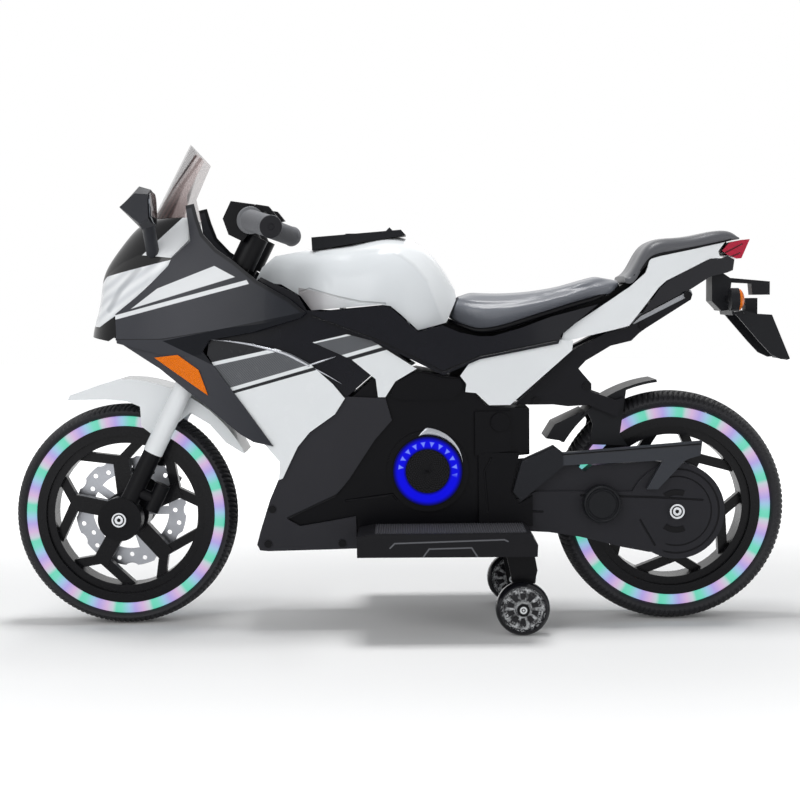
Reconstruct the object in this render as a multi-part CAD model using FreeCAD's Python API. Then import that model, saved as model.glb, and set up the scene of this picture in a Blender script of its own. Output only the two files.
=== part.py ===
import FreeCAD, Part
import math
import os
from FreeCAD import Vector

# Kids electric motorbike: moulded bodywork over a steel frame, raked fork, geared rear wheel, stabilisers.
# Millimetres, +Z up, front of the machine towards -X, rider's left towards -Y, floor at Z = 0.
# Bodywork outlines are pairs of thousandths: station behind the front axle as a share of the wheelbase,
# height above the floor as a share of the tank height.

# Whole machine
WHEELBASE = 812.0
BODY_HEIGHT = 580.0
PLATE_TIP = 1212
BODY_HALF = 90.0
FAIRING_HALF = 112.0
LAYER = 4.0
WALL = 3.5
SEAM = 0.4
FIT = 0.3
RUN = 0.05
PAST = 1.0
REACH = 2 * FAIRING_HALF

# Wheels
FRONT_TYRE_R = 165.0
REAR_TYRE_R = 171.0
FRONT_TYRE_W = 62.0
REAR_TYRE_W = 70.0
BEAD_IN = 5.0
BEAD_T = 8.0
BELT_IN = 9.0
RIM_R = 148.0
RIM_IN = 9.0
RIM_LIP = 3.0
RIM_INNER_R = 107.0
RIM_STEP_R = 119.0
RIM_STEP = 6.0
RING_W = 15.0
RING_T = 4.0
SPOKES = 5
SPOKE_T = 19.0
STEM_W = 24.0
BRANCH_W = 14.0
BRANCH_R = 80.0
BRANCH_ANGLES = (50.0, -77.0)
BRANCH_STEP = 2.0
FRONT_SPOKE_ANGLE = 24.0
REAR_SPOKE_ANGLE = 62.0
HUB_R = 34.0
HUB_HALF = 22.0
FRONT_TUBE_R = 16.0
REAR_TUBE_R = 20.0
AXLE_R = 6.0

# Brake disc
DISC_R = 84.0
DISC_T = 4.0
DISC_BAND = 26.0
DISC_HUB_R = 32.0
DISC_ARM_W = 12.0
DISC_HOLES = 24
DISC_HOLE_R = 3.5
DISC_HOLE_IN = (17.0, 9.0)
WAVES = 12
WAVE_R = 14.0
WAVE_OUT = 10.0

# Steering
HEAD_STATION = 241
HEAD_HEIGHT = 958
FORK_HALF = 64.0
TUBE_R = 11.0
TUBE_RISE = 12.0
SLEEVE_R = 14.6
SLEEVE_FOOT = 108.0
LEG_FOOT = 70.0
SHIN_FOOT = 10.0
DROPOUT_R = 32.0
DROPOUT_IN = 12.0
CALIPER_R = 11.0
CALIPER_AT = 34.0
CALIPER_ENDS = (30.0, 72.0)
LINK_R = 9.0
LINK_AT = 46.0
STEM_R = 12.0
HEAD_R = 19.0
LOWER_YOKE = 238.0
YOKE_BELOW_HEAD = 62.0
YOKE_T = 14.0
YOKE_EDGE = 16.0
YOKE_DEPTH = 17.0
AXLE_HEAD_R = 10.5
AXLE_HEAD_T = 6.0
FENDER_R = 200.0

# Handlebars
BAR_STATION = 246
BAR_HEIGHT = 1030
BAR_HALF = 100.0
BAR_R = 10.0
BAR_SWEEP = 42.0
BAR_DROP = 15.0
BAR_ROOT = 36.0
NECK_RISE = 14.0
GRIP_R = 15.8
GRIP_LENGTH = 114.0
GRIP_END = 3.0
FLANGE_T = 5.0
FLANGE_RISE = 4.0
CLAMP_R = 18.0
CLAMP_BELOW = 26.0
CLAMP_ABOVE = 22.0
POD_W = 21.0
POD_IN = 8.0
HORN_R = 5.2
HORN_LENGTH = 6.0
HORN_REACH = 40.0

# Frame and seat
RAIL_HALF = 28.0
CROSS_R = 8.0
STAY_HALF = 8.0
BEAM_HALF = 56.0

# Switches
CONSOLE_HALF = 36.0
POWER_R = 9.0
POWER_T = 6.0
POWER_SUNK = 4.0
POWER_DEPTH = 8.0
ROCKER_HALF = 8.0
ROCKER_ROOM = 8.5
ROCKER_DEPTH = 9.0
ROCKER_PIN_R = 2.5
ROCKER_PIN_HALF = 10.3
ROCKER_PIN_LOW = 2.0

# Lamps and plate
TAIL_LAMP_HALF = 38.0
PLATE_HALF = 48.0
LAMP_CUP_R = 17.0
LAMP_CUP_T = 12.0
LAMP_LENS_R = 15.0
LAMP_DOME_R = 22.0
LAMP_STALK_R = 5.0
LAMP_Y = 60.0
REFLECTOR_T = 2.1
MIRROR_STALK_R = 9.5
MIRROR_STALK_IN = 30.0

# Rear end
ARM_OUTER = 84.0
ARM_INNER = 46.0
RIGHT_ARM_T = 16.0
RIGHT_HUB_R = 40.0
HUB_COVER_R = 70.0
GEAR_EDGE = 70.0
AXLE_COLLAR_R = 14.0
GUARD_T = 9.6
HUGGER_R = REAR_TYRE_R + 16.0
HUGGER_HALF = 44.0
REAR_HEAD_R = 10.7
REAR_HEAD_T = 7.0

# Drive
GEAR_M = 2.0
DRIVE_Z = 60
SMALL_Z = 14
BIG_M = 1.0
BIG_Z = 60
PINION_Z = 12
PRESSURE = math.radians(20)
ADDENDUM = 0.95
DEDENDUM = 1.2
BACKLASH = 0.25
GEAR_ROOM = 2.0
DRIVE_Y = (-68.0, -58.0)
SMALL_Y = (-68.0, -57.0)
BIG_Y = (-57.0, -48.0)
TRAIN_RISE = 0.11
IDLER_PIN_R = 4.0
SHAFT_R = 2.0
SHAFT_IN = 6.0
MOTOR_R = 16.0
MOTOR_ROOM = 1.5
MOTOR_Y = (-96.0, -60.0)
CAP_R = 27.5
CAP_FACE = 100.0

# Housing, speaker and battery
SPEAKER_R = 50.0
SPEAKER_HOLE_R = 32.0
BADGE_RIM = 9.0
BADGE_T = 3.0
RING_RISE = 4.0
GRILLE_RISE = 2.5
BOSS_R = 13.5
BATTERY = (151.0, 65.0, 94.0)

# Footboards, stabilisers and screw plugs
FOOT_OUTER = 190.0
FOOT_INNER = 78.0
STAB_R = 39.0
STAB_W = 26.0
STAB_Y = 128.0
STAB_PLATE_T = 8.0
STAB_GAP = 2.0
STAB_FOOT_W = 30.0
STAB_PIN_R = 5.0
STAB_NUT_R = 9.0
STAB_NUT_T = 4.0
STAB_ROUND = 5.0
PLUG_R = 5.5
PLUG_T = 3.0

# Plan form: how far the body side is drawn in at each station, then at each height
PLAN = ((-110, 60), (-50, 50), (0, 40), (60, 25), (130, 12), (210, 4), (300, 0), (430, 0), (560, 0),
        (640, 4), (720, 11), (800, 20), (880, 28), (960, 35), (1040, 43), (1160, 56))
SIDE = ((60, 18), (200, 8), (290, 1), (450, 0), (650, 0), (900, 3), (1300, 14))

front_x = (FRONT_TYRE_R - PLATE_TIP * WHEELBASE / 1000) / 2
front_axle = Vector(front_x, 0, FRONT_TYRE_R)
rear_axle = Vector(front_x + WHEELBASE, 0, REAR_TYRE_R)
CENTRE = Vector(0, 0, 0)
ALONG = Vector(0, 1, 0)
REARWARD = Vector(1, 0, 0)
UPWARD = Vector(0, 0, 1)
os.makedirs("parts", exist_ok=True)


def spot(station, height, y=0.0):
    """Point at a body station and height."""
    return Vector(front_x + station * WHEELBASE / 1000, y, height * BODY_HEIGHT / 1000)


def save(name, *shapes):
    """Write one node, one solid or a group of separate solids."""
    solids = [s for shape in shapes for s in shape.Solids]
    body = solids[0] if len(solids) == 1 else Part.makeCompound(solids)
    body.exportStep("parts/%s.step" % name)


def mirrored(shape):
    """The same piece on the other side of the machine."""
    return shape.mirror(CENTRE, ALONG)


def flipped(points):
    """The same points on the other side, in reverse order."""
    return [Vector(p.x, -p.y, p.z) for p in points[::-1]]


def save_pair(name, *shapes):
    """Write one node of left pieces and their mirror images."""
    save(name, *shapes, *[mirrored(shape) for shape in shapes])


def fuse(*shapes):
    """One clean solid out of several."""
    return shapes[0].multiFuse(list(shapes[1:])).removeSplitter()


def largest(shape):
    """The main solid, without slivers that a cut leaves."""
    return max(shape.Solids, key=lambda solid: solid.Volume)


def polygon(points):
    """Flat face inside a closed run of points."""
    return Part.Face(Part.makePolygon(points + points[:1]))


def spline(points):
    """Smooth curve through points."""
    curve = Part.BSplineCurve()
    curve.interpolate(points)
    return curve.toShape()


def prism(outline, y0, y1):
    """Side outline carried from y0 to y1."""
    return polygon([spot(s, h, y0) for s, h in outline]).extrude(Vector(0, y1 - y0, 0))


def grown(outline, depth, y0, y1):
    """Side outline let out by a depth, or drawn in by a negative one, and carried from y0 to y1."""
    wire = polygon([spot(s, h) for s, h in outline]).makeOffset2D(depth, 2).Wires[0]
    return Part.Face(wire).translated(Vector(0, y0, 0)).extrude(Vector(0, y1 - y0, 0))


def rod(a, b, r):
    """Round bar between two points."""
    return Part.makeCylinder(r, a.distanceToPoint(b), a, b - a)


def disc(centre, r, y0, y1, hole=0.0):
    """Round piece across the machine, with an optional hole."""
    base = Vector(centre.x, y0, centre.z)
    shape = Part.makeCylinder(r, y1 - y0, base, ALONG)
    if hole:
        shape = shape.cut(Part.makeCylinder(hole, y1 - y0, base, ALONG))
    return shape


def box(low, high):
    """Box between two corners."""
    size = high - low
    return Part.makeBox(size.x, size.y, size.z, low)


def along_table(table, at):
    """Value of a table of places and values at a place, straight between its rows and level past its ends."""
    for (place, value), (next_place, next_value) in zip(table[:-1], table[1:]):
        if place <= at <= next_place:
            return value + (next_value - value) * (at - place) / (next_place - place)
    return table[0][1] if at < table[0][0] else table[-1][1]


def tuck(station):
    """How far the plan form is drawn in at a station."""
    return along_table(PLAN, station)


def level_half(level):
    """Half-width amidships of the outer face of a level of bodywork."""
    return BODY_HALF + level * (LAYER + SEAM)


def side_wire(station, half):
    """Cross-section of the body form at a station."""
    left = [spot(station, h, -(half - tuck(station) - inward)) for h, inward in SIDE]
    right = flipped(left)
    top = Part.makeLine(left[-1], right[0])
    bottom = Part.makeLine(right[-1], left[0])
    return Part.Wire([spline(left), top, spline(right), bottom])


def form(half):
    """Full-width body form with a given half-width amidships."""
    return Part.makeLoft([side_wire(s, half) for s, _ in PLAN], True)


LEVELS = {level: form(level_half(level)) for level in range(4)}
INNERS = {level: form(level_half(level) - LAYER) for level in range(4)}


def panel(outline, level):
    """Left moulded panel cut from one level of the body form."""
    return LEVELS[level].common(prism(outline, -REACH, 0)).cut(INNERS[level]).Solids[0]


# Wheels
def tyre(axle, radius, width):
    """Hollow tyre with a round crown, open towards the rim."""
    half = width / 2
    depth = radius - RIM_R
    foot = half - BEAD_IN

    def at(r, y):
        return Vector(axle.x, y, axle.z + r)
    outer = [at(RIM_R, -foot), at(RIM_R + depth * 0.4, -half), at(radius - depth * 0.22, -half * 0.72)]
    other = flipped(outer)
    inner = [at(RIM_R, foot - BEAD_T), at(radius - WALL - depth * 0.3, half - BELT_IN)]
    edges = [Part.makeLine(outer[0], outer[1]), Part.makeLine(outer[1], outer[2])]
    edges.append(Part.Arc(outer[2], at(radius, 0), other[0]).toShape())
    chain = other + inner + flipped(inner) + outer[:1]
    edges += [Part.makeLine(a, b) for a, b in zip(chain[:-1], chain[1:])]
    return Part.Face(Part.Wire(edges)).revolve(axle, ALONG, 360)


def spoke():
    """One swept Y spoke along +X, as a stem and two branches."""
    stem_corner = Vector(0, -SPOKE_T / 2, -STEM_W / 2)
    shapes = [Part.makeBox(BRANCH_R + STEM_W / 4, SPOKE_T, STEM_W, stem_corner)]
    thick = SPOKE_T - 2 * BRANCH_STEP
    for bend in BRANCH_ANGLES:
        corner = Vector(-2 * BRANCH_STEP, -thick / 2, -BRANCH_W / 2)
        branch = Part.makeBox(RIM_INNER_R, thick, BRANCH_W, corner)
        branch.rotate(CENTRE, ALONG, bend)
        branch.translate(REARWARD * BRANCH_R)
        shapes.append(branch)
    return fuse(*shapes)


def rim(axle, width, turn, hand, hub_left, hub_right, hub_tube):
    """Rim with swept Y spokes, a channelled barrel and a hub tube."""
    barrel = width / 2 - RIM_IN
    lip = barrel + RIM_LIP
    shelf = lip - RIM_STEP
    body = disc(axle, RIM_R, -barrel, barrel, RIM_INNER_R)
    body = body.cut(disc(axle, RIM_R + PAST, LAYER - barrel, barrel - LAYER, RIM_STEP_R + LAYER))
    body = body.cut(disc(axle, RIM_STEP_R, -lip, -shelf)).cut(disc(axle, RIM_STEP_R, shelf, lip))
    pieces = [body, disc(axle, RIM_R - RING_W - FIT, -lip, lip, RIM_STEP_R)]
    pieces.append(disc(axle, RIM_STEP_R + BRANCH_STEP, -shelf, shelf, RIM_INNER_R))
    pieces.append(disc(axle, HUB_R, -HUB_HALF, HUB_HALF))
    pieces.append(disc(axle, hub_tube, hub_left, hub_right))
    limit = disc(axle, RIM_INNER_R + RIM_STEP, -SPOKE_T, SPOKE_T)
    for k in range(SPOKES):
        arm = spoke() if hand > 0 else spoke().mirror(CENTRE, UPWARD)
        arm.rotate(CENTRE, ALONG, -turn - 360.0 * k / SPOKES)
        pieces.append(arm.translated(axle).common(limit))
    return fuse(*pieces).cut(disc(axle, AXLE_R + RUN, hub_left - PAST, hub_right + PAST))


def light_ring(axle, width):
    """Light ring on the left face of a wheel."""
    face = width / 2 - BEAD_IN
    return disc(axle, RIM_R - FIT, -face, RING_T - face, RIM_R - RING_W)


def around(centre, radius, count):
    """Evenly spread places on a circle in the side view."""
    turns = [2 * math.pi * k / count for k in range(count)]
    return [centre + Vector(math.cos(a), 0, math.sin(a)) * radius for a in turns]


front_hub = FORK_HALF - SLEEVE_R - PAST
save("front_tyre", tyre(front_axle, FRONT_TYRE_R, FRONT_TYRE_W))
save("front_rim", rim(front_axle, FRONT_TYRE_W, FRONT_SPOKE_ANGLE, 1, -front_hub, front_hub, FRONT_TUBE_R))
save_pair("front_light_rings", light_ring(front_axle, FRONT_TYRE_W))
save("rear_tyre", tyre(rear_axle, REAR_TYRE_R, REAR_TYRE_W))
rear_hub = ARM_INNER - PAST
save("rear_rim", rim(rear_axle, REAR_TYRE_W, REAR_SPOKE_ANGLE, -1, -GEAR_EDGE, rear_hub, REAR_TUBE_R))
save_pair("rear_light_rings", light_ring(rear_axle, REAR_TYRE_W))

disc_near = HUB_HALF
disc_far = HUB_HALF + DISC_T
rotor = fuse(disc(front_axle, DISC_R, disc_near, disc_far, DISC_R - DISC_BAND),
             disc(front_axle, DISC_HUB_R, disc_near, disc_far))
for k in range(SPOKES):
    web = Part.makeBox(DISC_R - DISC_BAND / 2, DISC_T, DISC_ARM_W, Vector(0, disc_near, -DISC_ARM_W / 2))
    web.rotate(CENTRE, ALONG, 360.0 * k / SPOKES)
    rotor = rotor.fuse(web.translated(front_axle))
for k, hole_in in enumerate(DISC_HOLE_IN):
    holes = around(front_axle, DISC_R - hole_in, DISC_HOLES)[k::2]
    for hole in holes:
        rotor = rotor.cut(disc(hole, DISC_HOLE_R, disc_near - PAST, disc_far + PAST))
for trough in around(front_axle, DISC_R + WAVE_OUT, WAVES):
    rotor = rotor.cut(disc(trough, WAVE_R, disc_near - PAST, disc_far + PAST))
rotor = rotor.removeSplitter()
save("brake_disc", rotor.cut(disc(front_axle, FRONT_TUBE_R, disc_near - PAST, disc_far + PAST)))

# Steering
head = spot(HEAD_STATION, HEAD_HEIGHT)
fork_length = head.distanceToPoint(front_axle)
up = (head - front_axle).normalize()
fore = Vector(-up.z, 0, up.x)


def fork(s, y=0.0, ahead=0.0):
    """Point on the fork line at a distance from the axle."""
    return front_axle + up * s + fore * ahead + ALONG * y


def left_rod(s0, s1, r):
    """Round bar on the left leg of the fork."""
    return rod(fork(s0, -FORK_HALF), fork(s1, -FORK_HALF), r)


def yoke(s):
    """Flat plate across both legs of the fork."""
    half = FORK_HALF + YOKE_EDGE
    back, front = [[fork(s, y, ahead) for y in (-half, half)] for ahead in (-YOKE_DEPTH, YOKE_DEPTH)]
    return polygon(back + front[::-1]).extrude(up * YOKE_T)


upper_yoke = fork_length - YOKE_BELOW_HEAD
stem_ends = (fork(LOWER_YOKE), fork(upper_yoke + YOKE_T))
tube = left_rod(LOWER_YOKE - PAST, fork_length, TUBE_R)
yokes = fuse(yoke(LOWER_YOKE), yoke(upper_yoke), rod(*stem_ends, STEM_R))
save("steering_yokes", yokes.cut(tube).cut(mirrored(tube)))

leg = left_rod(LEG_FOOT, fork_length + TUBE_RISE, TUBE_R)
shin = left_rod(SHIN_FOOT, SLEEVE_FOOT - SEAM, SLEEVE_R - PAST)
dropout = disc(front_axle, DROPOUT_R, -FORK_HALF - SLEEVE_R, DROPOUT_IN - FORK_HALF)
link = rod(fork(LINK_AT, -FORK_HALF), fork(LINK_AT, -FORK_HALF, -CALIPER_AT), LINK_R)
caliper = rod(*[fork(s, -FORK_HALF, -CALIPER_AT) for s in CALIPER_ENDS], CALIPER_R)
leg = fuse(leg, shin, dropout, link, caliper).cut(disc(front_axle, AXLE_R, -2 * FORK_HALF, 0))
save_pair("fork_legs", leg)
sleeve = left_rod(SLEEVE_FOOT, LOWER_YOKE - SEAM, SLEEVE_R)
save_pair("fork_sleeves", sleeve.cut(left_rod(SLEEVE_FOOT - PAST, LOWER_YOKE, TUBE_R)))
axle_end = FORK_HALF + SLEEVE_R
bolt = disc(front_axle, AXLE_HEAD_R, -axle_end - AXLE_HEAD_T, -axle_end)
save("front_axle", fuse(disc(front_axle, AXLE_R, -axle_end, axle_end), bolt, mirrored(bolt)))

# Front fender: arched shell with side flaps that meet the fork sleeves
FENDER = ((-96, 584), (-92, 596), (-38, 622), (6, 640), (52, 665), (125, 640), (165, 566), (196, 528),
          (218, 492), (237, 440), (219, 446), (190, 472), (161, 519), (126, 549), (100, 520), (53, 498),
          (37, 516), (35, 566), (11, 580), (-26, 585))
flap_y = FORK_HALF - SLEEVE_R - SEAM
arch = disc(front_axle, FENDER_R + LAYER, -flap_y, flap_y)
arch = arch.cut(disc(front_axle, FENDER_R, LAYER - flap_y, flap_y - LAYER))
save("front_fender", arch.common(prism(FENDER, -flap_y, flap_y)))

# Handlebars, grips and switch gear, the pods drawn in millimetres about the inner end of the grip
POD = ((-28, 28), (-8, 25), (6, 23), (6, 2), (-4, -20), (-12, -30), (-32, -20), (-40, 3))
HOOK = ((0, 12), (8, 23), (26, 20), (37, 6), (30, 4), (22, 12), (4, 6))
HORN_OFF = Vector(6, 18.5, 12)
bar_in = spot(BAR_STATION, BAR_HEIGHT, -BAR_HALF)
bar_dir = Vector(BAR_SWEEP, -GRIP_LENGTH, -BAR_DROP).normalize()
bar_root = bar_in - bar_dir * BAR_ROOT
bar_tip = bar_in + bar_dir * (GRIP_LENGTH - GRIP_END)
pods = []
for corners in (POD, HOOK):
    pods.append(polygon([bar_in + Vector(x, POD_IN, z) for x, z in corners]).extrude(ALONG * POD_W))
clamp = left_rod(fork_length - CLAMP_BELOW, fork_length + CLAMP_ABOVE, CLAMP_R)
neck = rod(fork(fork_length + NECK_RISE, -FORK_HALF), bar_root, TUBE_R)
bar = fuse(clamp, neck, Part.makeSphere(TUBE_R, bar_root), rod(bar_root, bar_tip, BAR_R), *pods)
bar = bar.cut(left_rod(fork_length - 2 * CLAMP_BELOW, fork_length + TUBE_RISE, TUBE_R))
horn_at = bar_in + HORN_OFF
horn_bore = horn_at + REARWARD * HORN_REACH
horn_hole = Part.makeCylinder(HORN_R + FIT, HORN_REACH + HORN_LENGTH, horn_bore, -REARWARD)
save("handlebars", bar.cut(horn_hole), mirrored(bar))
save("horn_button", Part.makeCylinder(HORN_R, HORN_LENGTH, horn_at + REARWARD * HORN_LENGTH / 2, -REARWARD))


def grip(play):
    """Hand grip over the bar, closed at its outer end."""
    body = rod(bar_in, bar_in + bar_dir * GRIP_LENGTH, GRIP_R)
    flange = rod(bar_in, bar_in + bar_dir * FLANGE_T, GRIP_R + FLANGE_RISE)
    bore = rod(bar_root, bar_tip + bar_dir * FIT, BAR_R + play)
    return body.fuse(flange).cut(bore).removeSplitter()


save("grip_left", grip(0.0))
save("throttle_grip", mirrored(grip(RUN)))


def crown_wire(station, foot, top, half, depth, shares):
    """Cross-section with a rounded crown."""
    base = spot(0, foot).z
    rise = spot(0, top).z - depth - base
    x = spot(station, 0).x
    left = [Vector(x, -(half - depth) * a, base + rise * b) for a, b in shares]
    crown = left + flipped(left[:-1])
    return Part.Wire([spline(crown), Part.makeLine(crown[-1], crown[0])])


TANK = ((244, 880), (256, 915), (280, 944), (334, 957), (350, 960), (518, 991), (543, 969), (569, 937),
        (590, 898), (607, 856), (609, 840), (609, 828), (591, 772), (540, 754), (510, 794), (492, 815),
        (474, 819), (350, 806), (330, 842), (293, 872))

# Seat and pillion pad: station, foot, top and half-width of each cross-section
SEAT_PLAN = ((596, 778, 826, 50), (618, 764, 841, 68), (650, 750, 839, 80), (690, 757, 837, 84),
             (750, 783, 842, 86), (810, 809, 857, 80), (860, 828, 876, 70), (905, 860, 877, 52))
CUSHION = ((0.86, 0.0), (0.95, 0.3), (1.0, 0.55), (0.9, 0.82), (0.5, 0.96), (0.0, 1.0))
PAD_PLAN = ((912, 868, 884, 62), (940, 894, 936, 58), (962, 932, 970, 55), (1000, 944, 980, 51),
            (1050, 957, 989, 46), (1104, 973, 995, 42), (1122, 974, 979, 38))
PAD = ((1.0, 0.0), (1.0, 0.5), (0.86, 0.85), (0.5, 0.97), (0.0, 1.0))
seat = Part.makeLoft([crown_wire(s, f, t, w, 0, CUSHION) for s, f, t, w in SEAT_PLAN], True)
seat = seat.cut(grown(TANK, SEAM, -REACH, REACH))
save("seat", seat)
pad = Part.makeLoft([crown_wire(s, f, t, w, 0, PAD) for s, f, t, w in PAD_PLAN], True)
save("tail_pad", pad)

# Steel frame
RAIL = ((592, 775), (624, 757), (649, 747), (672, 749), (722, 768), (776, 795), (863, 826), (896, 850),
        (915, 865), (955, 907), (979, 936), (1048, 954), (1101, 970), (1101, 962), (1060, 930), (990, 878),
        (960, 840), (928, 775), (880, 736), (760, 725), (690, 690), (600, 690), (240, 720), (190, 700),
        (190, 760), (250, 780), (560, 752))
POST = ((600, 700), (655, 700), (652, 580), (722, 330), (722, 262), (672, 262), (672, 300), (598, 560))
STAY = ((545, 546), (560, 574), (612, 600), (612, 560))
CROSSINGS = ((450, 765, 3), (625, 705, 3), (560, 560, 0))
rail_room = WALL - RAIL_HALF
spine = prism(RAIL, -RAIL_HALF, RAIL_HALF)
spine = spine.cut(prism(RAIL, rail_room, -rail_room).translated(UPWARD * -3 * WALL))
column = prism(POST, -RAIL_HALF, RAIL_HALF)
column = column.cut(prism(POST, rail_room, RAIL_HALF + PAST).translated(REARWARD * WALL))
pivot = spot(698, 298)
head_tube = rod(fork(LOWER_YOKE + YOKE_T + SEAM), fork(upper_yoke - SEAM), HEAD_R)
crossings = []
for station, height, level in CROSSINGS:
    side_y = level_half(level) - LAYER - tuck(station) - 3 * SEAM
    crossings.append(disc(spot(station, height), CROSS_R, -side_y, side_y))
pivot_tube = disc(pivot, STEM_R, -ARM_OUTER, ARM_OUTER)
frame = fuse(spine, column, head_tube, prism(STAY, -STAY_HALF, STAY_HALF), pivot_tube, *crossings)
for cushion in (seat, pad):
    frame = frame.cut(cushion.translated(UPWARD * -SEAM))
save("main_frame", largest(frame).cut(rod(*stem_ends, STEM_R + RUN)))

# Engine housing halves, with speaker and bracket embossing
HOUSING = ((298, 215), (298, 335), (345, 425), (345, 470), (409, 575), (458, 634), (537, 653), (584, 640),
           (614, 634), (623, 620), (640, 594), (663, 561), (738, 555), (738, 440), (668, 432), (656, 330),
           (656, 215))
KNEE = ((498, 624), (537, 650), (584, 635), (614, 630), (619, 618), (614, 600), (600, 581), (508, 581),
        (490, 590))
PIVOT_PLATE = ((646, 262), (646, 446), (719, 446), (703, 350), (718, 318), (742, 338), (742, 262))
LUG = ((640, 550), (704, 550), (704, 450), (640, 440))
speaker = spot(555, 403)
housing = LEVELS[0].common(prism(HOUSING, -REACH, 0))
housing = housing.cut(grown(HOUSING, -WALL, -REACH, 0).common(INNERS[0]))
raised = LEVELS[1].cut(INNERS[0])
badge_face = -BODY_HALF - BADGE_T
embossing = [raised.common(prism(outline, -REACH, 0)) for outline in (KNEE, LUG)]
embossing.append(disc(speaker, SPEAKER_R + BADGE_RIM, badge_face, PAST - BODY_HALF))
embossing.append(disc(spot(685, 523), BOSS_R, -BODY_HALF - PAST, 3 * LAYER - BODY_HALF))
embossing.append(prism(PIVOT_PLATE, -BODY_HALF, -ARM_OUTER - SEAM))
housing = largest(fuse(housing, *embossing).cut(grown(POST, SEAM, -RAIL_HALF - SEAM, REACH)))
save("engine_housing_left", housing)
save("engine_housing_right", mirrored(housing))
speaker_back = badge_face - SEAM
save_pair("speaker_rings", disc(speaker, SPEAKER_R, speaker_back - RING_RISE, speaker_back, SPEAKER_HOLE_R))
save_pair("speaker_grilles", disc(speaker, SPEAKER_HOLE_R - SEAM, speaker_back - GRILLE_RISE, speaker_back))
battery_at = spot(400, 215, -BATTERY[1] / 2) + UPWARD * (WALL + FIT)
save("battery", Part.makeBox(*BATTERY, battery_at))

# Moulded panels
COWL = ((398, 592), (481, 586), (492, 531), (461, 482), (416, 387), (389, 340), (349, 315), (304, 285),
        (326, 267), (379, 279), (426, 291), (427, 208), (268, 203), (253, 205), (248, 220), (254, 251),
        (273, 334), (289, 386), (300, 420), (330, 500), (360, 545))
COWL_FRONT = ((248, 220), (254, 251), (273, 334), (289, 386), (294, 386), (278, 334), (259, 251),
              (253, 220))
COWL_FLOOR = ((253, 205), (268, 203), (427, 208), (427, 214), (253, 212))
cowl_walls = [prism(outline, -REACH, 0).common(LEVELS[1]) for outline in (COWL_FRONT, COWL_FLOOR)]
cowl = fuse(panel(COWL, 1), *cowl_walls)
save("belly_cowl_left", cowl)
save("belly_cowl_right", mirrored(cowl))

SIDE_PANEL = ((165, 700), (169, 737), (224, 728), (277, 717), (314, 700), (346, 676), (388, 623),
              (409, 587), (391, 548), (346, 504), (324, 467), (310, 427), (297, 389), (290, 385),
              (292, 430), (280, 450), (262, 480), (220, 560))
MID_PANEL = ((353, 727), (414, 746), (458, 730), (537, 659), (499, 628), (481, 589), (468, 589), (464, 634),
             (422, 683))
SPAR = ((348, 800), (479, 816), (493, 811), (540, 751), (584, 766), (614, 748), (648, 738), (672, 738),
        (722, 757), (776, 784), (862, 814), (817, 764), (795, 740), (790, 717), (700, 694), (649, 681),
        (584, 643), (467, 725))
REAR_PANEL = ((614, 640), (640, 690), (701, 705), (785, 728), (817, 724), (815, 700), (703, 566),
              (665, 566), (642, 597), (623, 600), (625, 620))
TAIL = ((795, 720), (800, 742), (822, 767), (883, 822), (921, 857), (949, 891), (953, 904), (957, 925),
        (977, 933), (1046, 952), (1096, 968), (1083, 944), (1087, 926), (1069, 927), (1046, 911),
        (987, 871), (974, 855), (940, 795), (919, 759), (890, 749))
DUCT = ((160, 716), (160, 765), (200, 800), (238, 862), (262, 890), (293, 868), (326, 846), (343, 806),
        (440, 798), (475, 735), (530, 664), (456, 643), (404, 580), (392, 566), (345, 640), (280, 690))
save_pair("side_panels", panel(SIDE_PANEL, 2), panel(MID_PANEL, 1))
duct = panel(DUCT, 0).cut(disc(spot(*CROSSINGS[0][:2]), CROSS_R + SEAM, -REACH, 0))
save_pair("spar_covers", panel(SPAR, 3), duct)
save_pair("rear_panels", panel(REAR_PANEL, 2))
save_pair("tail_panels", panel(TAIL, 1))

# Upper fairing with a crease and a lower leg
LEAN = ((-330, 20), (-80, 12), (0, 0), (150, 8), (400, 33))
FAIRING_END = 500
FAIRING_STATIONS = [s for s, _ in PLAN if s < FAIRING_END]
CREASE_FOOT = 738
CREASE_FROM = 85
CREASE_RISE = 0.23


def crease(station):
    """Height of the fairing crease at a station."""
    return CREASE_FOOT + CREASE_RISE * max(0, station - CREASE_FROM)


def fairing_half(station, height):
    """Outer half-width of the fairing above its crease."""
    return FAIRING_HALF - tuck(station) - along_table(LEAN[2:], height - crease(station))


def fairing_wire(station, depth):
    """Fairing cross-section with a sharp crease line."""
    half = FAIRING_HALF - tuck(station) - depth
    left = [spot(station, crease(station) + rise, inward - half) for rise, inward in LEAN]
    ends = [Vector(left[k].x, 0, left[k].z) for k in (-1, 0)]
    corners = [left[-1], *ends, left[0]]
    closing = [Part.makeLine(a, b) for a, b in zip(corners[:-1], corners[1:])]
    return Part.Wire([spline(left[:3]), spline(left[2:])] + closing)


UPPER = ((-2, 801), (40, 846), (66, 878), (97, 920), (104, 940), (138, 982), (129, 1069), (144, 1074),
         (151, 1037), (161, 997), (185, 960), (216, 930), (256, 883), (314, 835), (343, 801), (332, 788),
         (250, 755), (170, 735), (150, 690), (80, 700), (0, 728))
LEG = ((-2, 762), (80, 762), (170, 730), (157, 708), (234, 562), (281, 470), (246, 481), (223, 500),
       (170, 562), (79, 664), (-4, 736))
REFLECTOR = ((69, 692), (112, 699), (150, 661), (166, 598))
fairing_outer = Part.makeLoft([fairing_wire(s, 0) for s in FAIRING_STATIONS], True)
fairing_inner = Part.makeLoft([fairing_wire(s, LAYER) for s in FAIRING_STATIONS], True)
upper = fairing_outer.common(prism(UPPER, -REACH, 0)).cut(fairing_inner)
fairing = fuse(upper, panel(LEG, 3))
save("fairing_left", fairing)
save("fairing_right", mirrored(fairing))
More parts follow.
